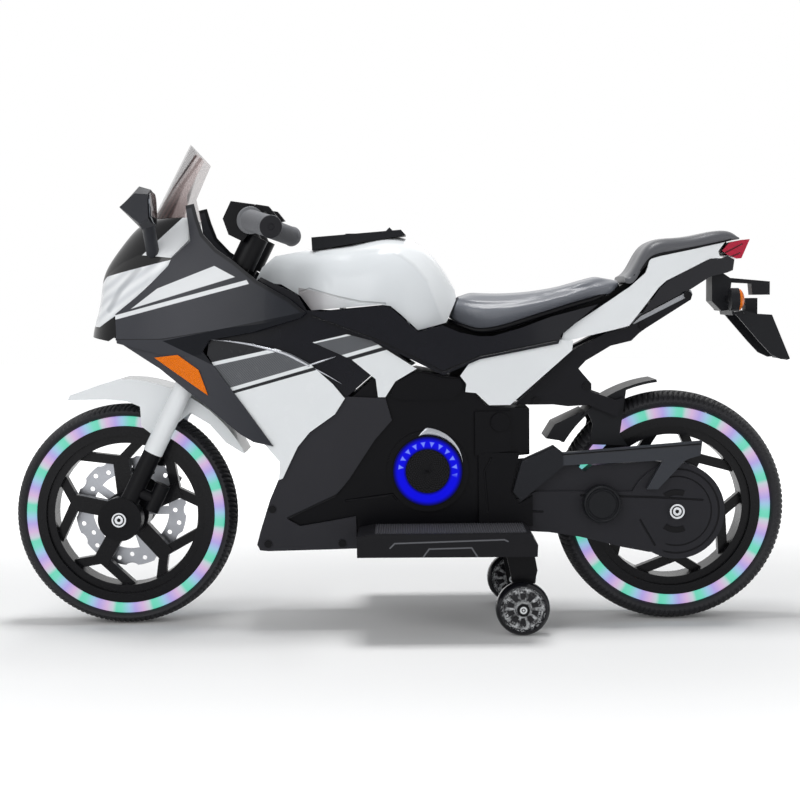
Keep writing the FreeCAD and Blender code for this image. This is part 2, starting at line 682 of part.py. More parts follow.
reflector = form(level_half(3) + SEAM + REFLECTOR_T).common(prism(REFLECTOR, -REACH, 0))
reflector = reflector.cut(form(level_half(3) + SEAM)).cut(fairing)

# Nose skin: height, front station and rear station of each level outline, from the screen tip to the chin
NOSE = ((1040, 56, 155), (1000, 15, 149), (960, -8, 140), (910, -31, 110), (870, -39, 82), (830, -43, 50),
        (790, -50, 20), (755, -56, 18), (722, -58, 16))
SCREEN_PLAN = ((1245, 133, 215), NOSE[0])
NOSE_PLAN = ((1, -1), (0.42, -0.74), (0.1, -0.34), (0, 0))
SCREEN_TIP_HALF = 40.0
SCREEN_T = 2.5
NOSE_STRIP_HALF = 7.0


def nose_half(height, station):
    """Half-width of the nose skin at its rear edge."""
    low = fairing_half(station, min(height, NOSE[0][0])) - LAYER - SEAM
    return along_table(((NOSE[0][0], low), (SCREEN_PLAN[0][0], SCREEN_TIP_HALF)), height)


def nose_wire(height, middle, edge, depth):
    """Level outline of the nose, from its rear edges round its front."""
    half = nose_half(height, edge) - depth
    start = spot(middle, height) + REARWARD * depth
    run = spot(edge, height).x - start.x
    left = [start + Vector(run * a, half * b, 0) for a, b in NOSE_PLAN]
    ring = left + flipped(left[:-1])
    return Part.Wire([spline(ring), Part.makeLine(ring[-1], ring[0])])


def nose_form(depth, plan=NOSE):
    """Solid form of the nose, or of the screen by its own plan, at a depth below its face."""
    return Part.makeLoft([nose_wire(h, m, e, depth) for h, m, e in plan], True)


SCREEN = ((127, 1233), (158, 1182), (128, 1096), (134, 1041), (-60, 1041), (60, 1240))
COWLING = ((-30, 1040), (132, 1040), (134, 984), (98, 935), (88, 910), (62, 870), (38, 840), (2, 799), (6, 752),
           (-17, 733), (-70, 745), (-70, 900), (-40, 1000))
LENS = ((-80, 868), (-38, 876), (-18, 906), (8, 930), (41, 949), (104, 940), (97, 920), (66, 878),
        (38, 845), (-1, 799), (-37, 768), (-80, 770))
nose_skin = nose_form(0).cut(nose_form(WALL))
lens_cut = prism(LENS, -REACH, -NOSE_STRIP_HALF)
cowling = nose_skin.common(prism(COWLING, -REACH, REACH)).cut(lens_cut).cut(mirrored(lens_cut))
screen = nose_form(0, SCREEN_PLAN).common(prism(SCREEN, -REACH, REACH)).cut(nose_form(SCREEN_T, SCREEN_PLAN))
save("windscreen", largest(screen.cut(fairing).cut(mirrored(fairing))))
save("nose_cowl", largest(cowling.cut(fairing).cut(mirrored(fairing))))
save_pair("headlight_lenses", nose_skin.common(prism(LENS, -REACH, -NOSE_STRIP_HALF - SEAM)).cut(fairing))

# Mirrors on stalks that stand on the nose
MIRROR = ((-182, ((60, 1090), (34, 1058), (66, 1020), (82, 1028), (82, 1088))),
          (-150, ((62, 1110), (28, 1059), (66, 1006), (84, 1014), (82, 1102))),
          (-112, ((66, 1098), (40, 1059), (68, 1014), (84, 1020), (82, 1092))))
sections = [polygon([spot(s, h, y) for s, h in corners]).OuterWire for y, corners in MIRROR]
stalk_foot = spot(66, 930, MIRROR_STALK_IN - fairing_half(66, 930))
stalk = rod(spot(70, 1030, -124), stalk_foot, MIRROR_STALK_R)
mirror = fuse(Part.makeLoft(sections, True, True), stalk).cut(fairing).cut(nose_form(-SEAM))
save_pair("mirrors", largest(mirror))

# Tank cover with a console and switches: station, top and half-width of each cross-section
TANK_PLAN = ((240, 882, 14), (262, 930, 24), (290, 950, 34), (345, 962, 70), (420, 974, 90), (500, 990, 94),
             (545, 970, 86), (585, 912, 70), (614, 848, 56))
TANK_FOOT = 735
ROUND = ((1.0, 0.0), (1.0, 0.35), (0.93, 0.63), (0.72, 0.86), (0.36, 0.97), (0.0, 1.0))
TANK_RIBS = ((400, 767.2), (520, 756.6))
RIB_TOP = 1000
RIB_W = 6
RIB_HALF = 60.0
CONSOLE = ((349, 990), (511, 1007), (520, 993), (350, 957))
ROCKER = ((-5, -4), (5, -4), (5, 2), (0, 7), (-5, 2))


def tank_form(depth):
    """Rounded tank at a depth below its skin."""
    return Part.makeLoft([crown_wire(s, TANK_FOOT, t, w, depth, ROUND) for s, t, w in TANK_PLAN], True)


tank = tank_form(0).cut(tank_form(WALL)).common(prism(TANK, -REACH, REACH))
rib_form = tank_form(PAST)
for s, h in TANK_RIBS:
    rib = prism(((s, h), (s, RIB_TOP), (s + RIB_W, RIB_TOP), (s + RIB_W, h)), -RIB_HALF, RIB_HALF)
    tank = fuse(tank, rib.common(rib_form))
save("tank_cover", largest(tank))
power_at = spot(420, 996.7)
rocker_at = spot(490, 1003)
pin_at = rocker_at - UPWARD * ROCKER_PIN_LOW
room = Vector(ROCKER_ROOM, ROCKER_ROOM, 0)
power_hole = Part.makeCylinder(POWER_R + FIT, POWER_DEPTH + POWER_T, power_at - UPWARD * POWER_DEPTH)
rocker_hole = box(rocker_at - room - UPWARD * ROCKER_DEPTH, rocker_at + room + UPWARD * ROCKER_DEPTH)
pin_hole = disc(pin_at, ROCKER_PIN_R + RUN, -ROCKER_PIN_HALF - FIT, ROCKER_PIN_HALF + FIT)
console = largest(prism(CONSOLE, -CONSOLE_HALF, CONSOLE_HALF).cut(tank_form(-SEAM)))
save("tank_console", console.cut(power_hole).cut(rocker_hole).cut(pin_hole))
save("power_button", Part.makeCylinder(POWER_R, POWER_T, power_at - UPWARD * POWER_SUNK))
rocker = polygon([rocker_at + Vector(x, -ROCKER_HALF, z) for x, z in ROCKER]).extrude(ALONG * 2 * ROCKER_HALF)
save("direction_switch", fuse(rocker, disc(pin_at, ROCKER_PIN_R, -ROCKER_PIN_HALF, ROCKER_PIN_HALF)))

# Tail lamp, tray and beams
TRAY_BACK = 8
TRAY_RISE = 10
TAIL_LAMP = ((1091, 945), (1104, 966), (1124, 972), (1141, 974), (1126, 926), (1117, 925), (1101, 935))
UNDERTAIL = ((1070, 926.2), (1087, 925.2), (1100, 932), (1113, 923), (1110, 896), (1099, 890), (1069, 881),
             (1032, 849), (943, 789), (976, 853.6), (989, 869.6))
BEAM = ((716, 563), (817, 698), (884, 745), (919, 754), (942, 783), (1031, 847), (1034, 837), (1031, 823),
        (950, 752), (938, 740), (924, 721), (887, 709), (842, 672), (822, 642), (800, 600), (783, 562),
        (742, 562))
HANGER = ((783, 562), (810, 557), (847, 560), (872, 545), (899, 528), (911, 578), (895, 572), (852, 594),
          (852, 614), (836, 640), (818, 672))
save("tail_light", prism(TAIL_LAMP, -TAIL_LAMP_HALF, TAIL_LAMP_HALF))
tray_room = prism([(s - TRAY_BACK, h + TRAY_RISE) for s, h in UNDERTAIL], -REACH, REACH).common(INNERS[1])
save("undertail", LEVELS[1].common(prism(UNDERTAIL, -REACH, REACH)).cut(tray_room))
beam = prism(BEAM, -BEAM_HALF, -RAIL_HALF - SEAM)
save_pair("subframe", fuse(beam, prism(HANGER, -BEAM_HALF, -HUGGER_HALF - SEAM)))

# Plate bracket, plate and rear lamps, each outline with its half-width
NECK = ((1076, 882.2), (1097, 888.5), (1112, 874), (1106, 795), (1093, 793), (1076, 818))
PLATE = ((1104, 806), (1111, 790), (1128, 795), (1154, 785), (1179, 783), (1212, 671), (1206, 668),
         (1174, 776), (1152, 778), (1128, 788), (1108, 782))
LAMP_ARM = ((1104, 878), (1184, 867), (1184, 833), (1152, 833), (1150, 862), (1104, 866))
STUB = ((1140, 825), (1162, 825), (1162, 782), (1140, 782))
HOLDER = ((NECK, PLATE_HALF / 2), (PLATE, PLATE_HALF), (LAMP_ARM, 14.0), (STUB, 12.0))
GUSSET = ((1111, 789), (1154, 784), (1179, 782), (1211, 672), (1196, 670), (1178, 682), (1158, 712))
lamp_at = spot(1100, 822, -LAMP_Y)
stalk_at = lamp_at + REARWARD * LAYER
lamp_side = fuse(Part.makeCylinder(LAMP_CUP_R, LAMP_CUP_T, lamp_at, REARWARD),
                 rod(stalk_at, stalk_at + ALONG * 2 * LAMP_Y / 3, LAMP_STALK_R))
gusset = prism(GUSSET, -PLATE_HALF, LAYER - PLATE_HALF)
holder = [prism(outline, -half, half) for outline, half in HOLDER]
save("plate_bracket", fuse(*holder, gusset, mirrored(gusset), lamp_side, mirrored(lamp_side)))
lens_at = lamp_at + REARWARD * (LAMP_CUP_T + SEAM)
dome = Part.makeSphere(LAMP_DOME_R, lamp_at - REARWARD * PAST)
dome = dome.common(Part.makeCylinder(LAMP_LENS_R, LAMP_DOME_R, lens_at, REARWARD))
save_pair("amber_lenses", reflector, dome)

# Rear mudguard
HOOD = ((785, 468), (812, 462), (870, 548), (925, 590), (975, 603), (966, 650), (880, 640), (835, 565),
        (785, 515))
CHEEK = ((856, 510), (850, 458), (919, 454), (905, 483), (917, 600), (930, 620), (880, 640), (840, 560))
FLAP = ((771, 474), (806, 466), (841, 545), (787, 510))
cheek_face = LAYER - HUGGER_HALF
hood = disc(rear_axle, HUGGER_R + LAYER, -HUGGER_HALF, HUGGER_HALF, HUGGER_R)
hood = hood.common(prism(HOOD, -REACH, REACH))
cheek = disc(rear_axle, HUGGER_R + PAST, -HUGGER_HALF, cheek_face)
cheek = cheek.common(prism(CHEEK, -REACH, REACH))
flap_room = prism(FLAP, cheek_face, -cheek_face).translated(Vector(WALL, 0, -WALL))
flap = prism(FLAP, -HUGGER_HALF, HUGGER_HALF).cut(flap_room)
flap = flap.cut(disc(rear_axle, HUGGER_R, -REACH, REACH))
save("rear_hugger", fuse(hood, cheek, mirrored(cheek), flap))

# Swing arms, gearbox and drive
ARM = ((676, 262), (676, 318), (722, 330), (749, 347), (809, 347), (897, 345), (955, 345), (985, 400),
       (985, 190), (950, 192), (903, 205), (827, 232), (773, 244), (700, 250))
CASE = ((800, 330), (836, 395), (850, 411), (960, 421), (1000, 412), (1000, 300), (820, 300))
BRACKET = ((692, 322), (696, 426), (737, 431), (779, 456), (797, 438), (836, 396), (836, 340), (722, 322))
ARM_ROOM = ((672, 310), (740, 330), (830, 335), (830, 246), (770, 254), (672, 258))
CHAIN = ((724, 430), (779, 465), (796, 446), (1044, 472), (1041, 436), (1023, 429), (1014, 424), (965, 352),
         (945, 352), (974, 424), (798, 414), (722, 326), (707, 349))
first_gap = GEAR_M * (DRIVE_Z + SMALL_Z) / 2
second_gap = BIG_M * (BIG_Z + PINION_Z) / 2
train = Vector(-1, 0, TRAIN_RISE).normalize()
idler_at = rear_axle + train * first_gap
motor_at = idler_at + train * second_gap
case_face = LAYER - ARM_OUTER
room_face = 2 * LAYER - ARM_OUTER
arm = fuse(prism(ARM, -ARM_OUTER, -ARM_INNER), disc(rear_axle, HUB_COVER_R, -ARM_OUTER, -ARM_INNER),
           prism(CASE, case_face, -ARM_INNER), prism(BRACKET, case_face, case_face + 2 * LAYER))
rooms = [disc(rear_axle, GEAR_M * (DRIVE_Z + 2) / 2 + GEAR_ROOM, room_face, 0),
         disc(idler_at, BIG_M * (BIG_Z + 2) / 2 + GEAR_ROOM, room_face, 0),
         disc(motor_at, MOTOR_R + MOTOR_ROOM, -ARM_OUTER - PAST, 0),
         prism(ARM_ROOM, room_face, 0).cut(disc(pivot, STEM_R * 1.5, -REACH, 0))]
for hollow in rooms:
    arm = arm.cut(hollow)
arm = fuse(arm, disc(rear_axle, AXLE_COLLAR_R, room_face - PAST, -GEAR_EDGE - PAST),
           disc(idler_at, IDLER_PIN_R, room_face - PAST, -ARM_INNER))
bores = fuse(disc(rear_axle, AXLE_R, -REACH, REACH), disc(pivot, STEM_R, -REACH, REACH))
save("swingarm_left", arm.cut(bores))
right_face = ARM_INNER + RIGHT_ARM_T
right_arm = fuse(prism(ARM, ARM_INNER, right_face), disc(rear_axle, RIGHT_HUB_R, ARM_INNER, right_face))
save("swingarm_right", right_arm.cut(bores))
heads = [disc(rear_axle, REAR_HEAD_R, y, y + REAR_HEAD_T) for y in (-ARM_OUTER - REAR_HEAD_T, right_face)]
save("rear_axle", fuse(disc(rear_axle, AXLE_R, -ARM_OUTER, right_face), *heads))
save("chain_guard", prism(CHAIN, -ARM_OUTER - SEAM - GUARD_T, -ARM_OUTER - SEAM))


def gear(centre, module, count, span, turn, bore):
    """Spur gear with involute flanks and working backlash."""
    pitch = module * count / 2
    base = pitch * math.cos(PRESSURE)
    tip = pitch + module * ADDENDUM
    root = pitch - module * DEDENDUM
    half = (math.pi * module / 2 - BACKLASH) / (2 * pitch) + math.tan(PRESSURE) - PRESSURE
    start = max(base, root)
    flank = []
    for k in range(4):
        r = start + (tip - start) * k / 3
        a = math.acos(min(1.0, base / r))
        flank.append((r, half - math.tan(a) + a))
    tooth = [(root, -half)] + [(r, -a) for r, a in flank]
    tooth += [(r, -a) for r, a in tooth[::-1]]
    points = []
    for k in range(count):
        middle = turn + 2 * math.pi * k / count
        points += [Vector(centre.x + r * math.cos(middle + a), span[0], centre.z + r * math.sin(middle + a))
                   for r, a in tooth]
    blank = polygon(points).extrude(ALONG * (span[1] - span[0]))
    return blank.cut(disc(centre, bore, span[0] - PAST, span[1] + PAST))


heading = math.atan2(train.z, train.x)
small = gear(idler_at, GEAR_M, SMALL_Z, SMALL_Y, heading + math.pi + math.pi / SMALL_Z, IDLER_PIN_R + RUN)
big = gear(idler_at, BIG_M, BIG_Z, BIG_Y, heading, IDLER_PIN_R + RUN)
pinion = gear(motor_at, BIG_M, PINION_Z, BIG_Y, heading + math.pi + math.pi / PINION_Z, SHAFT_R)
motor_face = MOTOR_Y[0]
shaft_back = MOTOR_Y[1] - SHAFT_IN
save("drive_gear", gear(rear_axle, GEAR_M, DRIVE_Z, DRIVE_Y, heading, REAR_TUBE_R))
save("idler_gear", fuse(small, big))
save("motor_rotor", fuse(pinion, disc(motor_at, SHAFT_R, shaft_back, BIG_Y[1])))
motor = disc(motor_at, MOTOR_R, motor_face, MOTOR_Y[1])
save("motor_case", motor.cut(disc(motor_at, SHAFT_R + RUN, shaft_back - PAST, MOTOR_Y[1] + PAST)))
cap = disc(motor_at, CAP_R, -CAP_FACE, -ARM_OUTER - SEAM)
save("motor_cap", cap.cut(disc(motor_at, MOTOR_R, motor_face, PAST - ARM_OUTER)))

# Footboards and stabilisers
FOOT = ((431, 213), (431, 262), (457, 270), (640, 270), (640, 212))
FOOT_TAIL = ((640, 212), (640, 270), (728, 270), (742, 241), (741, 212))
FOOT_ROOM = ((437, 200), (437, 258), (460, 263), (680, 263), (680, 200))
STAB_PLATE = ((690, 211), (741, 211), (748, 156), (728, 45), (712, 45), (700, 150))
STAB_FOOT = ((690, 211), (741, 211), (744, 198), (690, 198))
foot_face = -BODY_HALF - SEAM
board = fuse(prism(FOOT, -FOOT_OUTER, -FOOT_INNER), prism(FOOT_TAIL, -FOOT_OUTER, foot_face))
board = largest(board.cut(form(-foot_face)))
save_pair("footboards", board.cut(prism(FOOT_ROOM, WALL - FOOT_OUTER, foot_face - WALL)))
wheel_at = spot(720, 0) + UPWARD * STAB_R
wheel_face = -STAB_Y - STAB_W / 2
plate_face = -STAB_Y + STAB_W / 2 + STAB_GAP
plate_back = plate_face + STAB_PLATE_T
stab = fuse(prism(STAB_PLATE, plate_face, plate_back), prism(STAB_FOOT, plate_face - STAB_FOOT_W, plate_back),
            disc(wheel_at, STAB_PIN_R, wheel_face - STAB_GAP - PAST, plate_face + LAYER),
            disc(wheel_at, STAB_NUT_R, wheel_face - STAB_GAP - STAB_NUT_T, wheel_face - STAB_GAP))
save_pair("stabiliser_arms", stab)
roller = disc(wheel_at, STAB_R, wheel_face, wheel_face + STAB_W, STAB_PIN_R + RUN)
tread_edges = [e for e in roller.Edges if e.Closed and e.BoundBox.XLength > STAB_R]
roller = roller.makeFillet(STAB_ROUND, tread_edges)
save("stabiliser_wheel_left", roller)
save("stabiliser_wheel_right", mirrored(roller))

# Round plugs over the body screws
COWL_PLUGS = ((277, 311), (268, 222), (401, 222))
BEAM_PLUGS = ((944, 760), (1025, 835), (843, 608), (752, 572))
plugs = [disc(spot(s, h), PLUG_R, -BEAM_HALF - LAYER, -BEAM_HALF) for s, h in BEAM_PLUGS]
for s, h in COWL_PLUGS:
    side_y = level_half(1) - tuck(s) - along_table(SIDE, h)
    plugs.append(largest(disc(spot(s, h), PLUG_R, -side_y - PLUG_T, PLUG_T - side_y).cut(LEVELS[1])))
save_pair("body_bolts", *plugs)
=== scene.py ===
"""Looks of a child's electric motorbike, dressed over its packed solids.

Metres, +Z up, front towards -X, rider's left towards -Y, floor at Z = 0.
Patterns read Object coordinates, which are the machine's own coordinates at rest.
"""
import logging
import math
from dataclasses import dataclass
from enum import Enum
from functools import cached_property, reduce
from typing import Callable, Sequence

import bmesh
import bpy
import numpy as np
from mathutils import Matrix, Vector


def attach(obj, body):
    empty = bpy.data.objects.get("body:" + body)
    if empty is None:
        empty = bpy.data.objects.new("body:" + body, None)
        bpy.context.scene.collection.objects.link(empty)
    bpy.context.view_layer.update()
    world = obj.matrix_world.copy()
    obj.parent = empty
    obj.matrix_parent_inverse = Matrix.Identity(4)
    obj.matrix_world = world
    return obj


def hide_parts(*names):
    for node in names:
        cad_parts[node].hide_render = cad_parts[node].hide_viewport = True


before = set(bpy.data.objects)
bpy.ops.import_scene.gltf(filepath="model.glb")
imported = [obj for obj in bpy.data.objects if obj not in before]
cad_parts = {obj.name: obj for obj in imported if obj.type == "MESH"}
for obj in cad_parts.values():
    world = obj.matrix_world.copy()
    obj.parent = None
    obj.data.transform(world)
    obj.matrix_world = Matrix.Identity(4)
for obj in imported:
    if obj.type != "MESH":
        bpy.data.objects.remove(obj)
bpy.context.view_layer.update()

LOG = logging.getLogger("motorbike")
Colour = tuple[float, float, float]
Point = tuple[float, float]
Place = tuple[float, float, float]
Line = tuple[Point, ...]

WHEELBASE = 0.812
BODY_HEIGHT = 0.580
FRONT_R = 0.165
REAR_R = 0.171
PLATE_TIP = 1212
FRONT_X = (FRONT_R - PLATE_TIP * WHEELBASE / 1000) / 2
REAR_X = FRONT_X + WHEELBASE
RIM_R = 0.148
EDGE = 0.0004
TURN = 2 * math.pi
ACROSS = (0.0, 1.0, 0.0)
SHARP = math.radians(38)


def spot(station: float, height: float) -> Point:
    """Side-view place of a body station and height, both in thousandths."""
    return FRONT_X + station * WHEELBASE / 1000, height * BODY_HEIGHT / 1000


def srgb(red: int, green: int, blue: int) -> Colour:
    """Linear colour of an 8-bit screen colour."""
    return tuple((c / 255 / 12.92) if c < 11 else ((c / 255 + 0.055) / 1.055) ** 2.4 for c in (red, green, blue))


def _method(operation: str, note: str, swap: bool = False) -> Callable[..., "Value"]:
    """Make a Value method of one Math node operation.

    Args:
        operation: the Math node's operation.
        note: the method's docstring.
        swap: put the other operand first.

    Returns:
        The method, whose second operand may be left out.
    """
    def method(self: "Value", other: "Value | float" = 0.0) -> "Value":
        first, second = (other, self) if swap else (self, other)
        return self.graph.node("ShaderNodeMath", {"operation": operation}, {0: first, 1: second})
    method.__doc__ = note
    return method


class Value:
    """A shader socket that takes part in arithmetic."""

    def __init__(self, graph: "Graph", socket: bpy.types.NodeSocket) -> None:
        """Keep the socket and the graph that it belongs to."""
        self.graph = graph
        self.socket = socket

    __add__ = __radd__ = _method("ADD", "Sum.")
    __sub__ = _method("SUBTRACT", "Difference.")
    __rsub__ = _method("SUBTRACT", "Difference from a number.", True)
    __mul__ = __rmul__ = _method("MULTIPLY", "Product.")
    __truediv__ = _method("DIVIDE", "Quotient.")
    __pow__ = _method("POWER", "Power.")
    __mod__ = _method("FLOORED_MODULO", "Remainder that never goes below zero.")
    low = _method("MINIMUM", "Smaller of two values, which joins masks by and.")
    high = _method("MAXIMUM", "Larger of two values, which joins masks by or.")
    angle = _method("ARCTAN2", "Angle of a point in radians, this value being its height and the other its reach.")
    size = _method("ABSOLUTE", "Absolute value.")
    sine = _method("SINE", "Sine.")

    def over(self, edge: float, soft: float = EDGE) -> "Value":
        """Soft step from 0 to 1 as the value passes an edge, soft being half the step's width."""
        sockets = {"Value": self, "From Min": edge - soft, "From Max": edge + soft}
        return self.graph.node("ShaderNodeMapRange", {"interpolation_type": "SMOOTHSTEP"}, sockets)

    def under(self, edge: float, soft: float = EDGE) -> "Value":
        """Soft step from 1 to 0 as the value passes an edge."""
        return 1.0 - self.over(edge, soft)

    def near(self, middle: float, half: float, soft: float = EDGE) -> "Value":
        """Soft mask of values within a half-width of a middle."""
        return (self - middle).size().under(half, soft)

    def wave(self, repeats: int) -> "Value":
        """Triangle wave of an angle in turns, 0 in the middle of each repeat and 0.5 at its ends."""
        return ((self * float(repeats)) % 1.0 - 0.5).size()


class Graph:
    """Node tree of a material or of the world."""

    def __init__(self, tree: bpy.types.NodeTree) -> None:
        """Work on a tree."""
        self.tree = tree

    @classmethod
    def material(cls, name: str) -> tuple["Graph", bpy.types.Material]:
        """Start a material with a bare Principled shader, and hand back its graph and itself."""
        made = bpy.data.materials.new(name)
        made.use_nodes = True
        return cls(made.node_tree), made

    @cached_property
    def place(self) -> Value:
        """Object coordinates."""
        return self.node("ShaderNodeTexCoord", {}, {}, "Object")

    @cached_property
    def axes(self) -> tuple[Value, Value, Value]:
        """Object coordinates apart."""
        first = self.node("ShaderNodeSeparateXYZ", {}, {0: self.place})
        return tuple(Value(self, out) for out in first.socket.node.outputs)

    x = property(lambda self: self.axes[0], doc="Distance towards the rear.")
    y = property(lambda self: self.axes[1], doc="Distance towards the rider's right.")
    z = property(lambda self: self.axes[2], doc="Height.")

    def node(self, kind: str, settings: dict, sockets: dict, out: int | str = 0) -> Value:
        """Add one node.

        Args:
            kind: node type.
            settings: properties set first; "stops" fills a colour ramp.
            sockets: values or links by socket name or number.
            out: which output to hand back.

        Returns:
            That output.
        """
        made = self.tree.nodes.new(kind)
        for key, value in settings.items():
            if key == "stops":
                ramp = made.color_ramp
                while len(ramp.elements) < len(value):
                    ramp.elements.new(0.5)
                for element, (at, colour) in zip(ramp.elements, value):
                    element.position = at
                    element.color = (*colour, 1.0)
            else:
                setattr(made, key, value)
        for key, value in sockets.items():
            self.link(made.inputs[key], value)
        return Value(self, made.outputs[out])

    def link(self, socket: bpy.types.NodeSocket, value: "Value | float | Sequence[float]") -> None:
        """Feed a socket by a link, or set its own value."""
        if isinstance(value, Value):
            self.tree.links.new(value.socket, socket)
        elif isinstance(value, tuple) and socket.type == "RGBA":
            socket.default_value = (*value, 1.0)
        else:
            socket.default_value = value

    def feed(self, **sockets: "Value | float | Sequence[float]") -> None:
        """Feed the Principled shader, underscores standing for spaces in socket names."""
        for key, value in sockets.items():
            self.link(self.tree.nodes["Principled BSDF"].inputs[key.replace("_", " ")], value)

    def noise(self, scale: float, detail: float = 2.0) -> Value:
        """Soft noise between 0 and 1, scale in features per metre."""
        return self.node("ShaderNodeTexNoise", {}, {"Vector": self.place, "Scale": scale, "Detail": detail})

    def mix(self, mask: Value, first: "Value | Colour", second: "Value | Colour") -> Value:
        """First colour where the mask is 0, second where it is 1."""
        return self.node("ShaderNodeMix", {"data_type": "RGBA"}, {0: mask, 6: first, 7: second}, 2)

    def bump(self, height: Value) -> Value:
        """Normal of a surface raised by a height in metres."""
        return self.node("ShaderNodeBump", {}, {"Height": height, "Distance": 1.0, "Strength": 1.0})

    def seen(self) -> Value:
        """Mask of the rays by which the camera, gloss and glass see the stage."""
        camera, gloss, glass = (self.node("ShaderNodeLightPath", {}, {}, f"Is {kind} Ray")
                                for kind in ("Camera", "Glossy", "Transmission"))
        return camera.high(gloss).high(glass)

    def trail(self, line: Line) -> Value:
        """Side-view distance to an open line of shares, in metres: the least over its straight runs."""
        places = [spot(*share) for share in line]
        reaches = []
        for (ax, az), (bx, bz) in zip(places[:-1], places[1:]):
            dx, dz = bx - ax, bz - az
            along = ((self.x - ax) * dx + (self.z - az) * dz) / (dx * dx + dz * dz)
            along = along.high(0.0).low(1.0)
            ex, ez = self.x - ax - along * dx, self.z - az - along * dz
            reaches.append((ex * ex + ez * ez) ** 0.5)
        return reduce(Value.low, reaches)

    def beside(self, first: Point, second: Point) -> Value:
        """Signed side-view distance above a line of two shares, in metres, for a line that runs rearwards."""
        start, end = spot(*first), spot(*second)
        dx, dz = end[0] - start[0], end[1] - start[1]
        length = math.hypot(dx, dz)
        return (self.z - start[1]) * (dx / length) - (self.x - start[0]) * (dz / length)

    def below(self, first: Point, second: Point, soft: float = EDGE) -> Value:
        """Mask below a line of two shares."""
        return self.beside(first, second).under(0.0, soft)

    def above(self, first: Point, second: Point, soft: float = EDGE) -> Value:
        """Mask above a line of two shares."""
        return self.beside(first, second).over(0.0, soft)

    def around(self, centre: Point) -> tuple[Value, Value]:
        """Distance in metres from a side-view centre, and angle in turns, counter-clockwise seen from the left."""
        dx, dz = self.x - centre[0], self.z - centre[1]
        return (dx * dx + dz * dz) ** 0.5, dz.angle(dx) / TURN


BRIGHT = srgb(214, 216, 218)
MATERIALS: dict["Finish", bpy.types.Material] = {}


@dataclass(frozen=True)
class Patch:
    """Paint on a body side, held below and above straight side-view lines and within reach of a trail."""

    colour: Colour
    below: tuple[Line, ...] = ()
    above: tuple[Line, ...] = ()
    trail: Line = ()
    reach: float = 0.0
    soft: float = EDGE
    cover: float = 1.0

    def mask(self, graph: Graph) -> Value:
        """How much of the paint lies at each place."""
        masks = [graph.below(*line, self.soft) for line in self.below]
        masks += [graph.above(*line, self.soft) for line in self.above]
        if self.trail:
            masks.append(graph.trail(self.trail).under(self.reach, self.soft))
        return reduce(Value.low, masks) * self.cover


@dataclass(frozen=True)
class Finish:
    """Moulded plastic, rubber or metal with a fine grain and a slight change of tone.

    Patterns that go round something, such as an axle, use the centre; patches lie over all else.
    """

    name: str
    colour: Colour
    roughness: float = 0.4
    metallic: float = 0.0
    coat: float = 0.0
    shine: float = 0.11
    grain: float = 0.00003
    grain_scale: float = 900.0
    tone: float = 0.08
    centre: Point = (0.0, 0.0)
    patches: tuple[Patch, ...] = ()

    def colours(self, graph: Graph) -> Value:
        """Base colour, which drifts a little between a darker and a lighter tone."""
        darker = tuple(c * (1 - self.tone) for c in self.colour)
        lighter = tuple(min(1.0, c * (1 + self.tone)) for c in self.colour)
        return graph.mix(graph.noise(14.0, 3.0), darker, lighter)

    def height(self, graph: Graph) -> Value:
        """Height of the surface relief in metres."""
        return graph.noise(self.grain_scale, 3.0) * self.grain

    def extras(self, graph: Graph) -> None:
        """Further sockets that a special finish sets."""

    def material(self) -> bpy.types.Material:
        """Make the material once, and hand it back."""
        if self not in MATERIALS:
            graph, made = Graph.material(self.name)
            scuff = graph.noise(60.0, 4.0) * 0.14 + (self.roughness - 0.07)
            colour = self.colours(graph)
            for patch in self.patches:
                colour = graph.mix(patch.mask(graph), colour, patch.colour)
            graph.feed(Base_Color=colour, Roughness=scuff, Metallic=self.metallic)
            graph.feed(Coat_Weight=self.coat, Coat_Roughness=0.06, Specular_IOR_Level=self.shine)
            graph.feed(Normal=graph.bump(self.height(graph)))
            self.extras(graph)
            MATERIALS[self] = made
        return MATERIALS[self]


@dataclass(frozen=True)
class Grooved(Finish):
    """Moulded plastic with parting lines or embossed lines drawn in the side view."""

    lines: tuple[Line, ...] = ()
    width: float = 0.0013
    depth: float = 0.0012
    line_colour: Colour = (0.004, 0.004, 0.005)

    def groove(self, graph: Graph) -> Value:
        """Mask of the lines, 1 in the middle of a groove."""
        reach = reduce(Value.low, [graph.trail(line) for line in self.lines])
        return reach.under(self.width, self.width * 0.6)

    def colours(self, graph: Graph) -> Value:
        """Base colour, darker in the grooves."""
        return graph.mix(self.groove(graph), super().colours(graph), self.line_colour)

    def height(self, graph: Graph) -> Value:
        """Grain less the depth of the grooves."""
        return super().height(graph) - self.groove(graph) * self.depth


@dataclass(frozen=True)
class TankPaint(Grooved):
    """White tank whose flank lies below a soft shoulder crease, with a greyer panel under its parting line."""

    crease: Line = ((352, 953), (484, 955), (513, 939), (536, 914), (558, 876), (583, 786))
    sink: float = 0.0016

    def flank(self, graph: Graph) -> Value:
        """Mask of the flank, below and ahead of each run of the crease."""
        runs = zip(self.crease[:-1], self.crease[1:])
        return reduce(Value.low, [graph.below(first, second, 0.0035) for first, second in runs])

    def colours(self, graph: Graph) -> Value:
        """Flank a little greyer than the shoulder, and the panel greyer still towards the front."""
        # Painted shade on the flank below the crease, and on the panel, fading out towards the rear.
        base = graph.mix(self.flank(graph) * 0.75, super().colours(graph), srgb(206, 210, 213))
        panel = graph.below((330, 862), (482, 818)).low(graph.x.over(spot(326, 0)[0]))
        return graph.mix(panel * graph.x.under(spot(385, 0)[0], 0.05), base, srgb(168, 165, 167))

    def height(self, graph: Graph) -> Value:
        """Flank sunk under the shoulder."""
        return super().height(graph) - self.flank(graph) * self.sink


